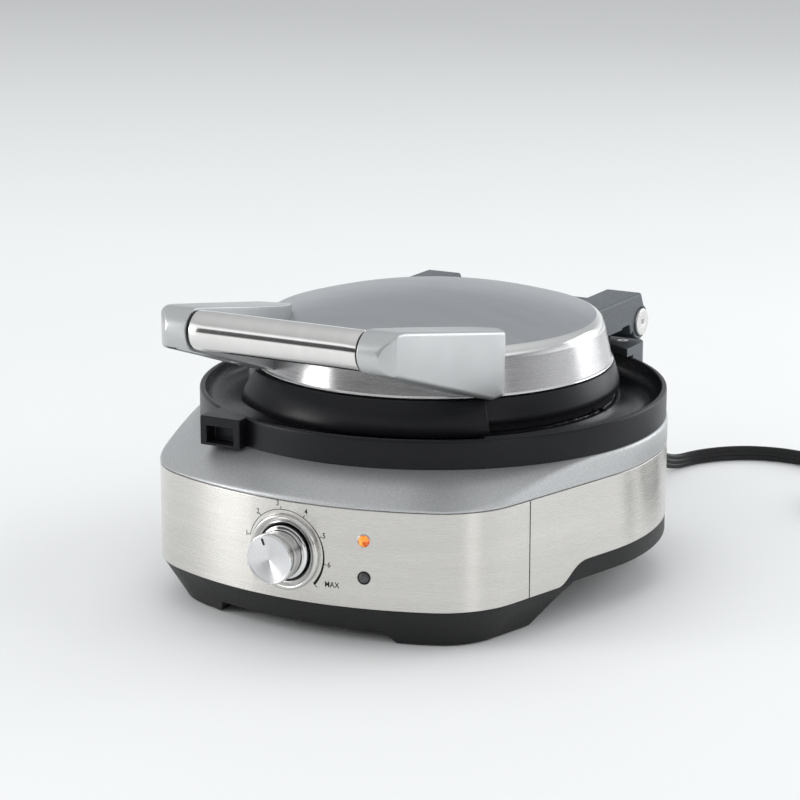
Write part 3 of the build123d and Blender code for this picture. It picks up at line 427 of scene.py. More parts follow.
# ---- Cord -------------------------------------------------------------------------------------
# Route from the outlet in the rear panel, down to the counter and round to the coil, about the origin.
cord_route = [
    (40.0, 173.0, 32.0),
    (40.0, 199.0, 32.0),
    (40.4, 223.0, 17.0),
    (42.0, 247.0, 4.7),
    (50.0, 272.0, 4.7),
    (68.0, 292.0, 4.7),
    (92.0, 300.0, 4.7),
    (117.0, 296.5, 4.7),
    (142.0, 292.5, 4.7),
    (166.0, 292.5, 4.7),
]
coil_centre = Vector((200.0, 238.0))
outer_turn, inner_turn, upper_turn = 54.5, 45.5, 50.0
counter_height, upper_height = 4.7, 13.8
points_per_turn, turns = 16, 2.25
# Degrees at which the cord starts to move to the inner turn and to climb, and how long each takes.
inward_from, rise_from, change_over = 290, 650, 70


def eased(value):
    """0 to 1 with soft ends."""
    value = min(1.0, max(0.0, value))
    return value * value * (3 - 2 * value)


def coil_points():
    """Two turns side by side and a quarter turn on top, clockwise from the far side."""
    points = []
    for k in range(1, int(points_per_turn * turns) + 1):
        turned = 360.0 * k / points_per_turn
        inward = eased((turned - inward_from) / change_over)
        rise = eased((turned - rise_from) / change_over)
        radius = outer_turn + (inner_turn - outer_turn) * inward + (upper_turn - inner_turn) * rise
        height = counter_height + (upper_height - counter_height) * rise
        a = radians(90 - turned)
        points.append((coil_centre.x + radius * cos(a), coil_centre.y + radius * sin(a), height))
    return points


cord_tail = [(250.0, 222.0, 13.8), (250.0, 205.0, 13.6), (250.0, 190.0, 12.2), (250.0, 176.0, 11.0)]
coil_entry = (coil_centre.x - 14, coil_centre.y + outer_turn, counter_height)
cord_points = cord_route + [coil_entry] + coil_points() + cord_tail


def cord_line(points):
    """Points along the NURBS spline with the route's points as its control points."""
    curve = bpy.data.curves.new("cord_line", "CURVE")
    curve.dimensions = "3D"
    curve.resolution_u = 10
    spline = curve.splines.new("NURBS")
    spline.points.add(len(points) - 1)
    for point, place in zip(spline.points, points):
        point.co = (*[c * MM for c in place], 1)
    spline.order_u = 3
    spline.use_endpoint_u = True
    holder = bpy.data.objects.new("cord_line", curve)
    mesh = bpy.data.meshes.new_from_object(holder)
    line = [v.co.copy() for v in mesh.vertices]
    bpy.data.meshes.remove(mesh)
    bpy.data.objects.remove(holder)
    bpy.data.curves.remove(curve)
    return line


def cord_section(steps=8):
    """Flat cord of three cores side by side: (sideways, upward) points."""
    core, pitch, section = 1.75, 2.72, []
    for centre, begin, finish in ((pitch, 90, -50), (0.0, 50, -50), (-pitch, 50, -90)):
        for k in range(steps + 1):
            a = radians(begin + (finish - begin) * k / steps)
            section.append((core * cos(a), centre + core * sin(a)))
    return section + [(-x, z) for x, z in reversed(section)][1:-1]


def cord_rings(line, section):
    """The cord's section at each point of a line, its flat side upright, in metres."""
    rings = []
    for i, place in enumerate(line):
        ahead = line[min(i + 1, len(line) - 1)] - line[max(i - 1, 0)]
        side = ahead.cross(Vector((0, 0, 1))).normalized()
        upward = side.cross(ahead).normalized()
        rings.append([place + side * (x * MM) + upward * (z * MM) for x, z in section])
    return rings


route_line = cord_line(cord_points)
cord_skin = looped(cord_rings(route_line, cord_section()), "cord", closed=False, unit=1.0)
cord = finished("cord", cord_skin, "root", cord_rubber, ("mains_cord", "cord_coil"), sharp=50)

# Strap round the coil where three strands cross: (radius, height) points about the coil's centre.
tie_line = [(43.0, 0.9), (57.0, 0.9), (57.9, 1.7), (58.0, 8.9), (57.4, 10.2), (53.2, 17.8), (52.0, 18.7),
            (48.0, 18.7), (46.8, 17.8), (42.6, 10.2), (42.0, 8.9), (42.1, 1.7)]
tie_angle, tie_half, tie_thick, tie_edge = radians(45), 3.2, 0.8, 0.3
tie_radius, tie_height = 50.0, 9.6


def tie_rings():
    """Sections of the strap, one for each point of its line."""
    ray = Vector((cos(tie_angle), sin(tie_angle)))
    across = Vector((-ray.y, ray.x))
    section = [(0, -tie_half), (0, tie_half), (1, tie_half - tie_edge), (1, -tie_half + tie_edge)]
    rings = []
    for radius, height in tie_line:
        away = Vector((radius - tie_radius, height - tie_height)).normalized() * tie_thick
        ring = []
        for outside, side in section:
            place = coil_centre + ray * (radius + away.x * outside) + across * side
            ring.append((place.x, place.y, height + away.y * outside))
        rings.append(ring)
    return rings


# ---- Stage and light --------------------------------------------------------------------------
floor_half = 12
floor_corners = [(x * floor_half, y * floor_half, 0) for x, y in ((-1, -1), (1, -1), (1, 1), (-1, 1))]
floor_mesh = bpy.data.meshes.new("floor")
floor_mesh.from_pydata(floor_corners, [], [(0, 1, 2, 3)])
floor = bpy.data.objects.new("floor", floor_mesh)
bpy.context.scene.collection.objects.link(floor)
floor_surface = Surface("pale floor", (0.87, 0.88, 0.88), 0.6, Specular_IOR_Level=0.15)
floor_axes = floor_surface.nodes.new("ShaderNodeSeparateXYZ")
floor_surface.links.new(floor_surface.place, floor_axes.inputs["Vector"])
# Painted shade: the floor's colour darkens from 0.7 m to 2.4 m behind the object, in place of light that
# fades across the stage.
far_floor_shade = floor_surface.ranged(floor_axes.outputs["Y"], 1.0, 0.0, start=0.7, end=2.4)
floor_surface.tone(far_floor_shade, 0.82, 1.0, start=0.0, end=1.0)
floor_mesh.materials.append(floor_surface.material)


light_target = Vector((0, 0, 0.05))


def soft_light(name, azimuth, elevation, distance, size, power, colour=(1, 1, 1), glossy=True):
    """Soft box that faces the object from a direction counted from the front, to the right."""
    a, e = radians(azimuth), radians(elevation)
    place = Vector((sin(a) * cos(e), -cos(a) * cos(e), sin(e))) * distance
    data = bpy.data.lights.new(name, "AREA")
    data.shape = "RECTANGLE"
    data.size, data.size_y = size
    data.energy = power
    data.color = colour
    light = bpy.data.objects.new(name, data)
    light.location = place
    light.visible_glossy = glossy
    light.rotation_mode = "QUATERNION"
    light.rotation_quaternion = (light_target - place).to_track_quat("-Z", "Y")
    bpy.context.scene.collection.objects.link(light)


soft_light("window", -150, 60, 2.6, (2.4, 2.0), 11, (0.97, 0.985, 1.0), glossy=False)
soft_light("front_left", -50, 12, 2.2, (0.7, 0.8), 11)
soft_light("right_strip", 64, 9, 2.2, (0.55, 0.55), 2.2)
soft_light("back_right", 148, 15, 2.4, (1.3, 1.1), 9.5, (0.97, 0.985, 1.0))
soft_light("front_fill", -20, 38, 2.6, (2.4, 1.6), 15, glossy=False)
soft_light("right_fill", 122, 30, 2.6, (2.2, 1.6), 20, glossy=False)

world = bpy.data.worlds.new("studio")
bpy.context.scene.world = world
world.use_nodes = True
sky_nodes, sky_links = world.node_tree.nodes, world.node_tree.links
background = sky_nodes["Background"]
direction = sky_nodes.new("ShaderNodeTexCoord").outputs["Generated"]
axes = sky_nodes.new("ShaderNodeSeparateXYZ")
sky_links.new(direction, axes.inputs["Vector"])


def sky_ramp(stops):
    """Brightness of the room from the horizon up, as (height, colour) stops."""
    ramp = sky_nodes.new("ShaderNodeValToRGB")
    ramp.color_ramp.elements[0].position = stops[0][0]
    ramp.color_ramp.elements[1].position = stops[-1][0]
    for position, _ in stops[1:-1]:
        ramp.color_ramp.elements.new(position)
    for element, (_, colour) in zip(ramp.color_ramp.elements, stops):
        element.color = (*colour, 1)
    sky_links.new(axes.outputs["Z"], ramp.inputs["Fac"])
    return ramp.outputs["Color"]


front_room = sky_ramp([(0.0, (0.34, 0.33, 0.32)), (0.04, (0.06, 0.06, 0.065)), (0.32, (0.08, 0.08, 0.085)),
                       (0.38, (1.15, 1.16, 1.18)), (0.47, (1.15, 1.16, 1.18)), (0.58, (0.55, 0.56, 0.57)),
                       (1.0, (0.74, 0.75, 0.76))])
back_room = sky_ramp([(0.0, (1.0, 1.02, 1.04)), (0.14, (0.85, 0.87, 0.89)), (0.32, (0.50, 0.515, 0.53)),
                      (0.72, (0.60, 0.61, 0.62)), (1.0, (0.74, 0.75, 0.76))])
behind = sky_nodes.new("ShaderNodeMapRange")
behind.inputs["From Min"].default_value = -0.35
behind.inputs["From Max"].default_value = 0.45
sky_links.new(axes.outputs["Y"], behind.inputs["Value"])
mixed = sky_nodes.new("ShaderNodeMix")
mixed.data_type = "RGBA"
sky_links.new(behind.outputs["Result"], mixed.inputs["Factor"])
sky_links.new(front_room, mixed.inputs["A"])
sky_links.new(back_room, mixed.inputs["B"])
sky_links.new(mixed.outputs["Result"], background.inputs["Color"])
background.inputs["Strength"].default_value = 1.0
bpy.context.scene.view_settings.view_transform = "Standard"

# ---- Base -------------------------------------------------------------------------------------
# Outline about the plates: a round rear, flanks that lean in, round front corners and a bowed front.
rear_radius, corner_radius, bow_radius, front_reach = 126.1, 47.6, 190.7, 153.1
flank = radians(14.9)
bow_steps, corner_steps, flank_steps, rear_steps = 72, 24, 10, 144
moat_radius, rim_inner, rim_top = 125.3, 122.3, 100.5
cover_top, cover_low, cover_slope, cover_wall = 85.4, 72.2, 0.387, 2.5
cover_round, cover_hidden = 2.1, 112.0  # radius of its upper edge; where it ends under the moat


def arc(centre, radius, start, end, steps):
    """Points of an arc with their outward normals, the last point left out."""
    found = []
    for k in range(steps):
        a = start + (end - start) * k / steps
        normal = Vector((cos(a), sin(a)))
        found.append((centre + normal * radius, normal))
    return found


def footprint():
    """Outline of the base about the plates, anticlockwise, as (point, outward normal)."""
    normal = Vector((cos(flank), -sin(flank)))
    forward = Vector((-sin(flank), -cos(flank)))
    bow = Vector((0, bow_radius - front_reach))
    offset = normal * (rear_radius - corner_radius) - bow
    run = sqrt(offset.dot(forward) ** 2 - offset.length_squared + (bow_radius - corner_radius) ** 2)
    corner = bow + offset + forward * (run - offset.dot(forward))
    turn = (corner - bow).normalized()
    first = atan2(turn.y, turn.x)
    rear, front = normal * rear_radius, corner + normal * corner_radius
    right_line = [(front.lerp(rear, k / flank_steps), normal) for k in range(flank_steps + 1)]
    left_line = [(Vector((-p.x, p.y)), Vector((-n.x, n.y))) for p, n in reversed(right_line)]
    left_corner = Vector((-corner.x, corner.y))
    return (arc(bow, bow_radius, -pi - first, first, bow_steps)
            + arc(corner, corner_radius, first, -flank, corner_steps) + right_line[:-1]
            + arc(Vector((0, 0)), rear_radius, -flank, pi + flank, rear_steps) + left_line[:-1]
            + arc(left_corner, corner_radius, pi + flank, pi - first, corner_steps))


def cover_height(radius):
    """Top surface of the cover: flat under the moat, then a gentle fall."""
    return cover_top - max(0.0, radius - moat_radius) * cover_slope


def cover_rings():
    """Sections of the top cover round the base outline, from under the moat over the edge to the inside."""
    rings = []
    for point, normal in footprint():
        ray = point.normalized()
        edge = cover_height(point.length)
        start = point - normal * cover_round
        knee = ray * min(moat_radius, start.length - 0.2)
        ring = []
        for place in (ray * cover_hidden, knee, knee.lerp(start, 0.5), start):
            ring.append((place.x, place.y + plate_y, cover_height(place.length)))
        over = bezier([(cover_round, ring[-1][2]), (0.0, edge + 0.05),
                       (0.0, max(edge - cover_round, cover_low + 0.9))], 8)[1:]
        foot = [(0.0, cover_low + 0.7), (0.12, cover_low + 0.3), (0.45, cover_low),
                (cover_wall, cover_low), (cover_wall + 0.3, edge - 3.4)]
        for inward, height in over + foot:
            place = point - normal * inward
            ring.append((place.x, place.y + plate_y, height))
        ring.append((ray.x * cover_hidden, ray.y * cover_hidden + plate_y, cover_top - cover_wall))
        rings.append(ring)
    return rings


finished("cover_skin", looped(cover_rings(), "cover"), "root", cover_silver, ("top_cover",))
painted(base_black, "base_tray")
for panel in ("front_fascia", "side_panel_left", "side_panel_right"):
    refined(panel, steel_band, bevel=0.3)
refined("rear_panel", cover_silver, bevel=0.6)


def seam_shade(side):
    """Thin black strip in the gap between the front panel and a side panel: painted shade of the gap."""
    half, deep, proud, behind_edge, short = 0.3, 0.6, 0.06, 0.12, 0.2
    rear = span("front_fascia")[1].y
    edge = [v.co / MM for v in frame["nodes"]["front_fascia"].data.vertices
            if v.co.y / MM > rear - 0.02 and v.co.x * side > 0]
    out = Vector((cos(flank) * side, -sin(flank)))
    across = Vector((out.y, -out.x))
    centre = Vector((max(abs(v.x) for v in edge) * side, rear + behind_edge))
    section = [centre + across * a + out * b
               for a, b in ((-half, -deep), (half, -deep), (half, proud), (-half, proud))]
    low, high = min(v.z for v in edge) + short, max(v.z for v in edge) - short
    return looped([[(q.x, q.y, height) for q in section] for height in (low, high)], "seam_shade", closed=False)


# Painted shade: a black strip stands in for the shade inside each seam between the front panel and a side
# panel.
for side, name in SIDES:
    finished(f"seam_{name}", seam_shade(side), "root", print_black)
refined("rubber_feet", foot_rubber, bevel=0)

# Section of the moat about the plates: inner lip, trough, upright rim.
lip = [(98.3, cover_top), (98.3, 94.9), (98.6, 95.2), (100.1, 95.2)]
trough = bezier([(100.4, 95.1), (103.5, 88.6), (111.0, 88.2), (118.5, 88.4), (120.8, 92.0),
                 (rim_inner, 99.3)], 22)
rim = [(122.5, 100.0), (122.95, 100.4), (123.5, rim_top), (124.2, rim_top), (124.75, 100.35),
       (125.1, 99.95), (125.25, 99.4), (moat_radius, 98.5), (moat_radius, cover_top)]
moat_line = lip + trough + rim
moat_slots = [0] * len(lip) + [1] * (len(trough) - 1) + [0] * (len(rim) + 1)
moat = finished("moat_skin", lathe(moat_line, materials=moat_slots), "root", nonstick,
                ("moat_ring",))
moat.data.materials.append(trough_coat)


def catch_box():
    """Box with an opening in its front, closed into the moat's outer wall."""
    left, right, low, high, front = -68.4, -44.4, cover_top - 0.2, rim_top, -124.0
    hole_left, hole_right, hole_low, hole_high, hole_floor = -64.4, -48.4, 86.8, 95.4, -116.2
    rear_left, rear_slope = -103.4, 12.4 / 24.0
    outer = [(left, low), (right, low), (right, high), (left, high)]
    hole = [(hole_left, hole_low), (hole_right, hole_low), (hole_right, hole_high), (hole_left, hole_high)]
    rings = [[(x, rear_left - (x - left) * rear_slope + plate_y, z) for x, z in outer]]
    for points, y in ((outer, front), (hole, front), (hole, hole_floor)):
        rings.append([(x, y + plate_y, z) for x, z in points])
    return looped(rings, "catch", closed=False)


catch = finished("catch_skin", catch_box(), "root", nonstick, ("moat_ring",))
rounded(catch, 0.75, segments=4, angle=30, clamp=True)
refined("lower_plate", plate_coat, bevel=0.5)
refined("hinge_bracket", hinge_grey, bevel=0.7)
painted(sheath, "lower_heater", "upper_heater", "temperature_sensor", "thermal_fuse")
painted(zinc, "heat_shield", "plate_standoffs", "lid_frame", "lid_standoffs")
painted(screw_metal, "plate_screws", "bracket_screws", "hinge_screws", "lid_screws", "handle_screws",
        "grip_tie_rod", "latch_pin", "dial_shaft")
painted(black_satin, "potentiometer", "ready_beeper")
painted(board, "control_board")
painted(nylon, "terminal_block", "hinge_washers")
painted(led_clear, "lamp_leds")
refined("plug_pins", brass, bevel=0.3)

# ---- Controls ---------------------------------------------------------------------------------
bezel_lip = bezier([(19.6, 0.5), (19.55, 1.0), (19.3, 1.3)], 4)
bezel_crest = bezier([(19.3, 1.3), (18.9, 2.05), (18.1, 2.1)], 6)[1:]
bezel_dish = bezier([(18.1, 2.1), (17.2, 1.9), (16.3, 0.5), (15.2, 0.1)], 10)[1:]
bezel_line = [(15.2, -3.0), (19.6, -3.0)] + bezel_lip + bezel_crest + bezel_dish
finished("dial_bezel_skin", lathe(bezel_line, DIAL, 128), "root", satin_chrome,
         ("dial_bezel",), sharp=45)
refined("dial_well", black_gloss, bevel=0)

knob_side = [(0.0, -4.6), (13.7, -4.6), (13.7, 1.3), (13.55, 1.7), (13.2, 1.9), (11.9, 2.0), (11.6, 2.2),
             (11.55, 2.9), (11.7, 3.2), (12.2, 3.35), (12.4, 3.6), (12.45, 4.2), (12.8, 14.5),
             (12.78, 14.85), (12.65, 15.1), (12.4, 15.28)]
knob_face = [(12.1, 15.35), (11.8, 15.3), (11.6, 15.15), (11.3, 15.1), (0.6, 14.75), (0.0, 14.4)]
knob_slots = [0] * len(knob_side) + [1] * (len(knob_face) - 1) + [0]
knob = finished("dial_knob_skin", lathe(knob_side + knob_face, DIAL, 160, knob_slots), "dial", chrome,
                ("dial_knob",), sharp=40)
knob.data.materials.append(spun)


def on_panel(x, z, proud):
    """Point on the bowed front panel, x and z counted from the dial's centre."""
    depth = sqrt(bow_radius ** 2 - x * x)
    normal = Vector((x / bow_radius, -depth / bow_radius, 0))
    foot = Vector((x, plate_y + bow_radius - front_reach - depth, dial_centre.z + z))
    return (foot + normal * proud) * MM


print_half = 0.05


def strip(edges, name):
    """Thin print on the panel between two rows of (x, z) points."""
    bm = bmesh.new()
    (under_a, under_b), (top_a, top_b) = [
        [[bm.verts.new(on_panel(x, z, proud)) for x, z in row] for row in edges]
        for proud in (-print_half, print_half)]
    last = len(top_a) - 1
    for i in range(last):
        bm.faces.new((top_a[i], top_a[i + 1], top_b[i + 1], top_b[i]))
        bm.faces.new((under_a[i], under_b[i], under_b[i + 1], under_a[i + 1]))
        bm.faces.new((top_a[i], under_a[i], under_a[i + 1], top_a[i + 1]))
        bm.faces.new((top_b[i], top_b[i + 1], under_b[i + 1], under_b[i]))
    bm.faces.new((top_a[0], top_b[0], under_b[0], under_a[0]))
    bm.faces.new((top_a[last], under_a[last], under_b[last], top_b[last]))
    return meshed(bm, name)


def polar(radius, angle):
    """Point on the dial's scale, angle in degrees from the right."""
    return radius * cos(radians(angle)), radius * sin(radians(angle))


# Label, angle on the scale, and the label's middle from the dial's centre.
scale_marks = [("1", 165.4, (-23.0, 5.8)), ("2", 130.5, (-15.8, 18.4)), ("3", 95.1, (-3.9, 24.4)),
               ("4", 60.6, (12.2, 22.0)), ("5", 26.6, (21.9, 10.9)), ("6", -9.4, (24.4, -3.7)),
               ("MAX", -41.6, (25.9, -13.8))]
scale_from, scale_to, scale_radius, scale_steps = 165.4, -41.6, 21.5, 96
line_thin, line_swell, swell_from, swell_over = 0.32, 1.1, 0.55, 0.45
tick_half, degrees_per_radian = 0.17, 57.3
number_size, number_reach, max_size, max_reach = 4.0, 23.2, 4.2, 24.0
letter_width, letter_bold = 0.86, 0.03


def scale_arc():
    """Two edges of the scale's line, which thickens towards its hot end."""
    inner, outer = [], []
    for k in range(scale_steps + 1):
        t = k / scale_steps
        angle = scale_from + (scale_to - scale_from) * t
        thick = line_thin + line_swell * max(0.0, (t - swell_from) / swell_over) ** 1.3
        inner.append(polar(scale_radius - thick * 0.3, angle))
        outer.append(polar(scale_radius + thick * 0.7, angle))
    return inner, outer


def printed(text, place, size):
    """Text laid on the bowed panel as thin print."""
    curve = bpy.data.curves.new("print", "FONT")
    curve.body = text
    curve.size = size
    curve.align_x, curve.align_y = "CENTER", "CENTER"
    curve.extrude = print_half
    curve.offset = letter_bold
    curve.resolution_u = 3
    holder = bpy.data.objects.new("print", curve)
    mesh = bpy.data.meshes.new_from_object(holder)
    for vertex in mesh.vertices:
        vertex.co = on_panel(place[0] + vertex.co.x * letter_width, place[1] + vertex.co.y, vertex.co.z)
    bpy.data.objects.remove(holder)
    bpy.data.curves.remove(curve)
    return mesh


finished("dial_scale", strip(scale_arc(), "scale"), "root", print_black)
for label, angle, place in scale_marks:
    size, reach = (max_size, max_reach) if label == "MAX" else (number_size, number_reach)
    sides = [[polar(r, angle + turn / r * degrees_per_radian) for r in (scale_radius, reach)]
             for turn in (-tick_half, tick_half)]
    finished("dial_tick_" + label, strip(sides, "tick"), "root", print_black)
    finished("dial_mark_" + label, printed(label, place, size), "root", print_black)

# Pointer on the knob's face: its section across, and its ends as (distance out, sunk).
index_angle = radians(111)
index_out = Vector((cos(index_angle), sin(index_angle)))
index_side = Vector((-sin(index_angle), cos(index_angle)))
index_section = [(-0.62, 14.6), (0.62, 14.6), (0.62, 15.2), (0.45, 15.28), (-0.45, 15.28), (-0.62, 15.2)]
index_rings = []
for out, sunk in ((7.4, 0.15), (10.9, 0)):
    ring = []
    for side, forward in index_section:
        flat = index_out * out + index_side * side
        ring.append(DIAL @ Vector((flat.x, flat.y, forward - sunk)))
    index_rings.append(ring)
finished("dial_index", looped(index_rings, "index", closed=False), "dial", black_gloss)

# The lamps look out of the bowed panel at this angle from straight ahead.
lamp_angle = radians(12.85)


def lamp_place(node):
    """Matrix whose local Z points out of the panel through a lamp."""
    height = middle(node).z
    foot = on_panel(bow_radius * sin(lamp_angle), height - dial_centre.z, 0) / MM
    return Matrix(((cos(lamp_angle), 0, sin(lamp_angle), foot.x),
                   (sin(lamp_angle), 0, -cos(lamp_angle), foot.y),
                   (0, 1, 0, height), (0, 0, 0, 1)))


lamp_ring_line = [(2.35, -4.0), (2.7, -4.0), (2.75, -0.2), (3.35, -0.2), (3.4, 0.25), (3.25, 0.5),
                  (3.0, 0.55), (2.85, 0.4), (2.8, -0.1), (2.4, -0.3)]
lamp_lens_line = [(0.0, -5.0), (2.3, -5.0), (2.35, -0.25), (2.78, -0.05), (2.75, 0.3), (2.5, 0.6),
                  (2.0, 0.82), (1.2, 0.97), (0.0, 1.02)]
for lamp, glass, glass_slot, ring_metal in (("power", amber, "amber_lens", satin_chrome),
                                            ("ready", smoke, "dark_lens", black_gloss)):
    place = lamp_place(lamp + "_lamp_lens")
    finished(lamp + "_ring_skin", lathe(lamp_ring_line, place, 64), "root", ring_metal,
             (lamp + "_lamp_ring",), sharp=50)
    finished(lamp + "_lens_skin", lathe(lamp_lens_line, place, 64), "root", glass,
             (lamp + "_lamp_lens",), sharp=60)

# ---- Lid --------------------------------------------------------------------------------------
crown_edge, crown_low, crown_top, shell_edge, shell_low = 85.5, 138.6, 151.8, 96.0, 113.8
shell_wall, wall_lean, wall_rise, wall_steps = 1.0, 3.6, 16.9, 8
# Radius of the ball that the crown is cut from.
ball = (crown_edge ** 2 + (crown_top - crown_low) ** 2) / (2 * (crown_top - crown_low))


def crown_line(inset, steps):
    """Crown of the lid's shell from its edge to the axis."""
    edge = crown_edge - inset
    points = []
    for k in range(steps + 1):
        r = edge * (1 - k / steps)
        points.append((r, crown_top - inset - ball + sqrt(ball ** 2 - r * r)))
    return points


bead = [(shell_edge - 0.9, shell_low), (shell_edge, shell_low), (shell_edge + 0.45, shell_low + 0.3),
        (shell_edge + 0.55, shell_low + 0.8), (shell_edge + 0.3, shell_low + 1.3),
        (shell_edge - 0.4, shell_low + 1.7)]
wall_line = [(bead[-1][0] - wall_lean * k / wall_steps, bead[-1][1] + wall_rise * k / wall_steps)
             for k in range(1, wall_steps + 1)]
shoulder = bezier([(92.0, 132.4), (91.0, 136.9), (89.0, 138.1), (crown_edge, crown_low)], 12)[1:]
shell_inside = list(reversed(crown_line(shell_wall, 10))) + [(91, 132.2)]
shell_line = bead + wall_line + shoulder + crown_line(0, 28)[1:] + shell_inside

# Bead and shoulder are polished, the wall is brushed round, and the crown takes the shoulder's last edges.
on_wall, on_crown, on_polish = 0, 1, 2
shell_slots = [on_polish] * (len(bead) - 1) + [on_wall] * len(wall_line) + [on_polish] * (len(shoulder) - 2)
shell_slots += [on_crown] * (len(shell_line) - len(shell_slots))
shell = finished("lid_shell", lathe(shell_line, materials=shell_slots), "lid", steel_wall,
                 ("lid_cover",))
shell.data.materials.append(steel_crown)
shell.data.materials.append(steel_bright)

ring_foot = [(97.6, 101.0), (99.6, 101.0)] + bezier([(99.6, 101.0), (99.9, 101.0), (99.9, 101.4)], 3)[1:]
ring_line = ring_foot + [(99.9, 103.2), (99.7, 104.2), (97.3, 112.7), (96.9, 113.4), (96.4, 113.6),
                         (94.3, 113.6), (93.8, 116.4), (92.0, 116.4), (92.0, 106.2), (97.6, 106.2)]
finished("lid_ring_skin", lathe(ring_line), "lid", nonstick, ("lid_ring",))
refined("lid_apron", nonstick, bevel=0.6)
refined("upper_plate", plate_coat, bevel=0.5)
refined("hinge_arm_left", hinge_grey, bevel=0.8)
refined("hinge_arm_right", hinge_grey, bevel=0.8)

pin_inner, pin_shoulder, pin_face, mark_deep = 25.5, 67.2, 69.6, 0.9
pin_line = [(0.0, pin_inner), (4.0, pin_inner), (4.0, pin_shoulder), (7.6, pin_shoulder), (7.7, 68.9),
            (7.55, 69.3), (7.2, 69.55), (6.7, pin_face), (1.9, pin_face), (1.5, pin_face - 0.15),
            (1.3, pin_face - 0.5), (1.2, pin_face - mark_deep), (0.0, pin_face - mark_deep)]
for side, name in SIDES:
    finished(f"hinge_pin_{name}_skin", lathe(pin_line, lying(side), 96), "lid", pin_steel,
             (f"hinge_pin_{name}",), sharp=40)

# ---- Handle -----------------------------------------------------------------------------------
nose_y, nose_z, nose_radius = grip_centre.y - plate_y, grip_centre.z, 11.0
top_lean, under_lean = radians(10.2), radians(18.5)
top_fall, under_fall = tan(top_lean), tan(under_lean)
top_touch = Vector((nose_y + nose_radius * sin(top_lean), nose_z + nose_radius * cos(top_lean)))
under_touch = Vector((nose_y - nose_radius * sin(under_lean), nose_z - nose_radius * cos(under_lean)))
# (y, x) lines of an arm's outer and inner face, and (y, z) line of the latch slot's roof, about the plates.
plan_outer = [(-165.5, 60.2), (-165.2, 60.6), (-160.7, 65.3), (-160.0, 65.95), (-159.3, 66.4),
              (-158.3, 66.65), (-62.5, 74.3), (-61.2, 74.3), (-60.0, 73.9), (-58.9, 73.1), (-48.0, 65.5),
              (-46.0, 62.5)]
plan_inner = [(-165.5, 48.6), (-110.0, 48.6), (-62.0, 53.0), (-50.0, 57.0), (-46.0, 61.0)]
slot_front, slot_middle, slot_rear = -161.2, -130, -103.0
slot_near, slot_far, slot_wall = 57.0, 63.0, 1.6
slot_line = [(slot_front, 150.0), (-158.5, 159.0), (-134.5, 158.6), (slot_rear, 142.5)]
nose_angles = (1, 6, 12, 18, 24, 30, 37, 44, 52, 60, 68, 76, 84)
nose_end, arm_places = -165.3, [-150, -140, -125, -110, -95, -88, -80, -71.0]
arm_big, arm_small, arm_share = 2.1, 0.7, 0.42


def along(line, y):
    """Value of a broken line at y."""
    for (y0, v0), (y1, v1) in zip(line, line[1:]):
        if y <= y1:
            return v0 + (v1 - v0) * (y - y0) / (y1 - y0)
    return line[-1][1]


def arm_heights(y):
    """Top and underside of a handle arm at y."""
    half = sqrt(max(0.0, nose_radius ** 2 - (y - nose_y) ** 2))
    top = nose_z + half if y < top_touch.x else top_touch.y - top_fall * (y - top_touch.x)
    under = nose_z - half if y < under_touch.x else under_touch.y - under_fall * (y - under_touch.x)
    return top, max(under, shell_low + 0.2)


def arm_stations(slot):
    """(y, slotted) places of an arm's sections, from the nose to the rear, doubled at the slot's ends."""
    places = [nose_y - nose_radius * cos(radians(a)) for a in nose_angles] + arm_places
    places += [y for y, _ in plan_outer + slot_line if y > nose_end]
    stations = [(y, slot_front < y < slot_rear) for y in set(places) - {slot_front, slot_rear}]
    if slot:
        stations += [(slot_front, False), (slot_front, True), (slot_rear, True), (slot_rear, False)]
    return sorted(stations, key=lambda s: (s[0], s[1] if s[0] < slot_middle else not s[1]))


def arm_section(y, slotted, slot):
    """(x, z) outline of the right arm at y, with the latch slot in its underside if there is one."""
    inner, outer = along(plan_inner, y), along(plan_outer, y)
    top, under = arm_heights(y)
    limit = arm_share * min(top - under, outer - inner)
    big, small = min(arm_big, limit), min(arm_small, limit)
    outline = []
    for x, z, radius, first in ((inner, under, small, 180), (outer, under, big, 270), (outer, top, big, 0),
                                (inner, top, small, 90)):
        if slot and x == outer and z == under:
            roof = along(slot_line, y) if slotted else under
            notch = [(slot_near, under), (slot_near, roof), (slot_far, roof), (slot_far, under)]
            outline += notch if outer > slot_far + slot_wall else [(inner + 1.0, under)] * 4
        cx = x + (radius if x == inner else -radius)
        cz = z + (radius if z == under else -radius)
        outline += [(cx + radius * cos(radians(first + 15 * k)), cz + radius * sin(radians(first + 15 * k)))
                    for k in range(7)]
    return outline


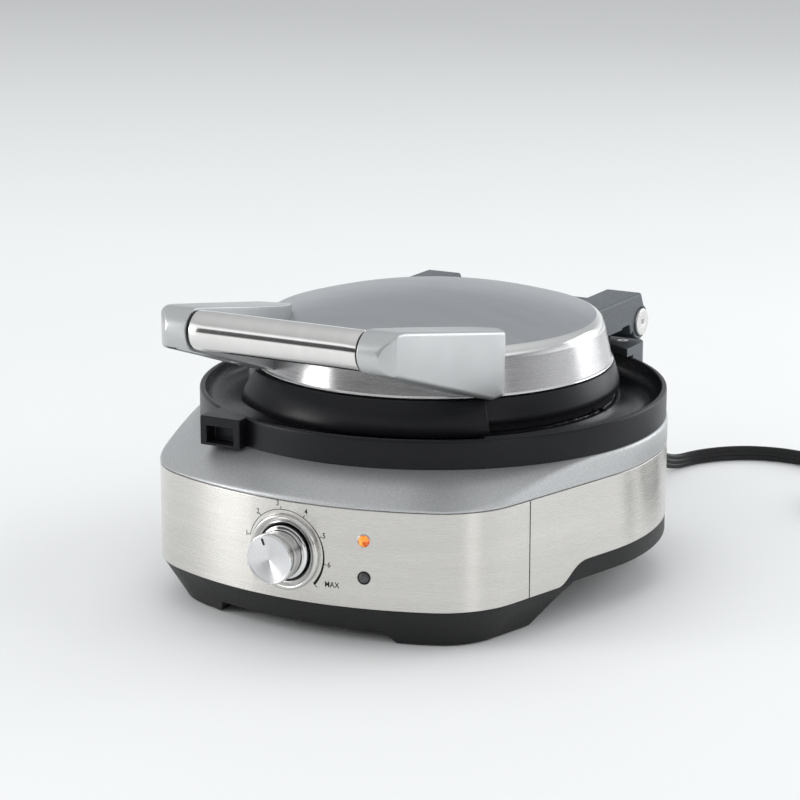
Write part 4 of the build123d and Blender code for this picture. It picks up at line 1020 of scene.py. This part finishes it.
def handle_arm(side):
    """Handle arm from its round nose to where it enters the dome; the left one has the latch slot."""
    slot = side < 0
    rings = [[(side * x, y + plate_y, z) for x, z in arm_section(y, slotted, slot)]
             for y, slotted in arm_stations(slot)]
    return looped(rings, "arm", closed=False)


for side, name in SIDES:
    finished(f"handle_arm_{name}_skin", handle_arm(side), "lid", cast_silver,
             (f"handle_arm_{name}",), sharp=28)

tube_end = 47.25
tube_line = [(8.8, -tube_end), (9.6, -tube_end), (9.9, -tube_end + 0.15), (10.0, -tube_end + 0.5)]
tube_line += [(10.0, x) for x in (-40, -30, -20, -10, 0, 10, 20, 30, 40)]
tube_line += [(10.0, tube_end - 0.5), (9.9, tube_end - 0.15), (9.6, tube_end), (8.8, tube_end)]
finished("grip_tube_skin", lathe(tube_line, GRIP, 160), "lid", steel_tube, ("grip_tube",))
refined("grip_rings", black_gloss, bevel=0)
refined("storage_latch", black_satin, bevel=0.4)

# ---- Cord ends --------------------------------------------------------------------------------
refined("plug_body", black_satin, bevel=1.0)
finished("coil_tie", looped(tie_rings(), "tie"), "root", black_satin)
exit_x, exit_z = cord_route[0][0], cord_route[0][2]
OUTLET = Matrix(((1, 0, 0, exit_x), (0, 0, 1, 0), (0, 1, 0, exit_z), (0, 0, 0, 1)))
relief_low, relief_high = span("strain_relief")
fins, fin_from, fin_pitch, fin_radius, fin_taper, fin_deep = 6, 151.6, 3.4, 6.7, 0.22, 0.9
relief_line = [(0.0, relief_low.y), (7.2, relief_low.y), (7.2, 145.9), (6.0, 145.9), (6.0, 148.6),
               (7.3, 148.6), (7.4, 149.0), (7.4, 150.6), (7.1, 151.0)]
for k in range(fins):
    start = fin_from + k * fin_pitch
    thick = fin_radius - fin_taper * k
    relief_line += [(thick - fin_deep, start), (thick - fin_deep, start + 1.0), (thick - 0.1, start + 1.2),
                    (thick, start + 1.5), (thick - 0.05, start + 2.6), (thick - 0.3, start + 2.9)]
relief_line += [(5.0, relief_high.y - 0.4), (4.6, relief_high.y), (0.0, relief_high.y)]
finished("strain_relief_skin", lathe(relief_line, OUTLET, 64), "root", black_satin,
         ("strain_relief",), sharp=50)
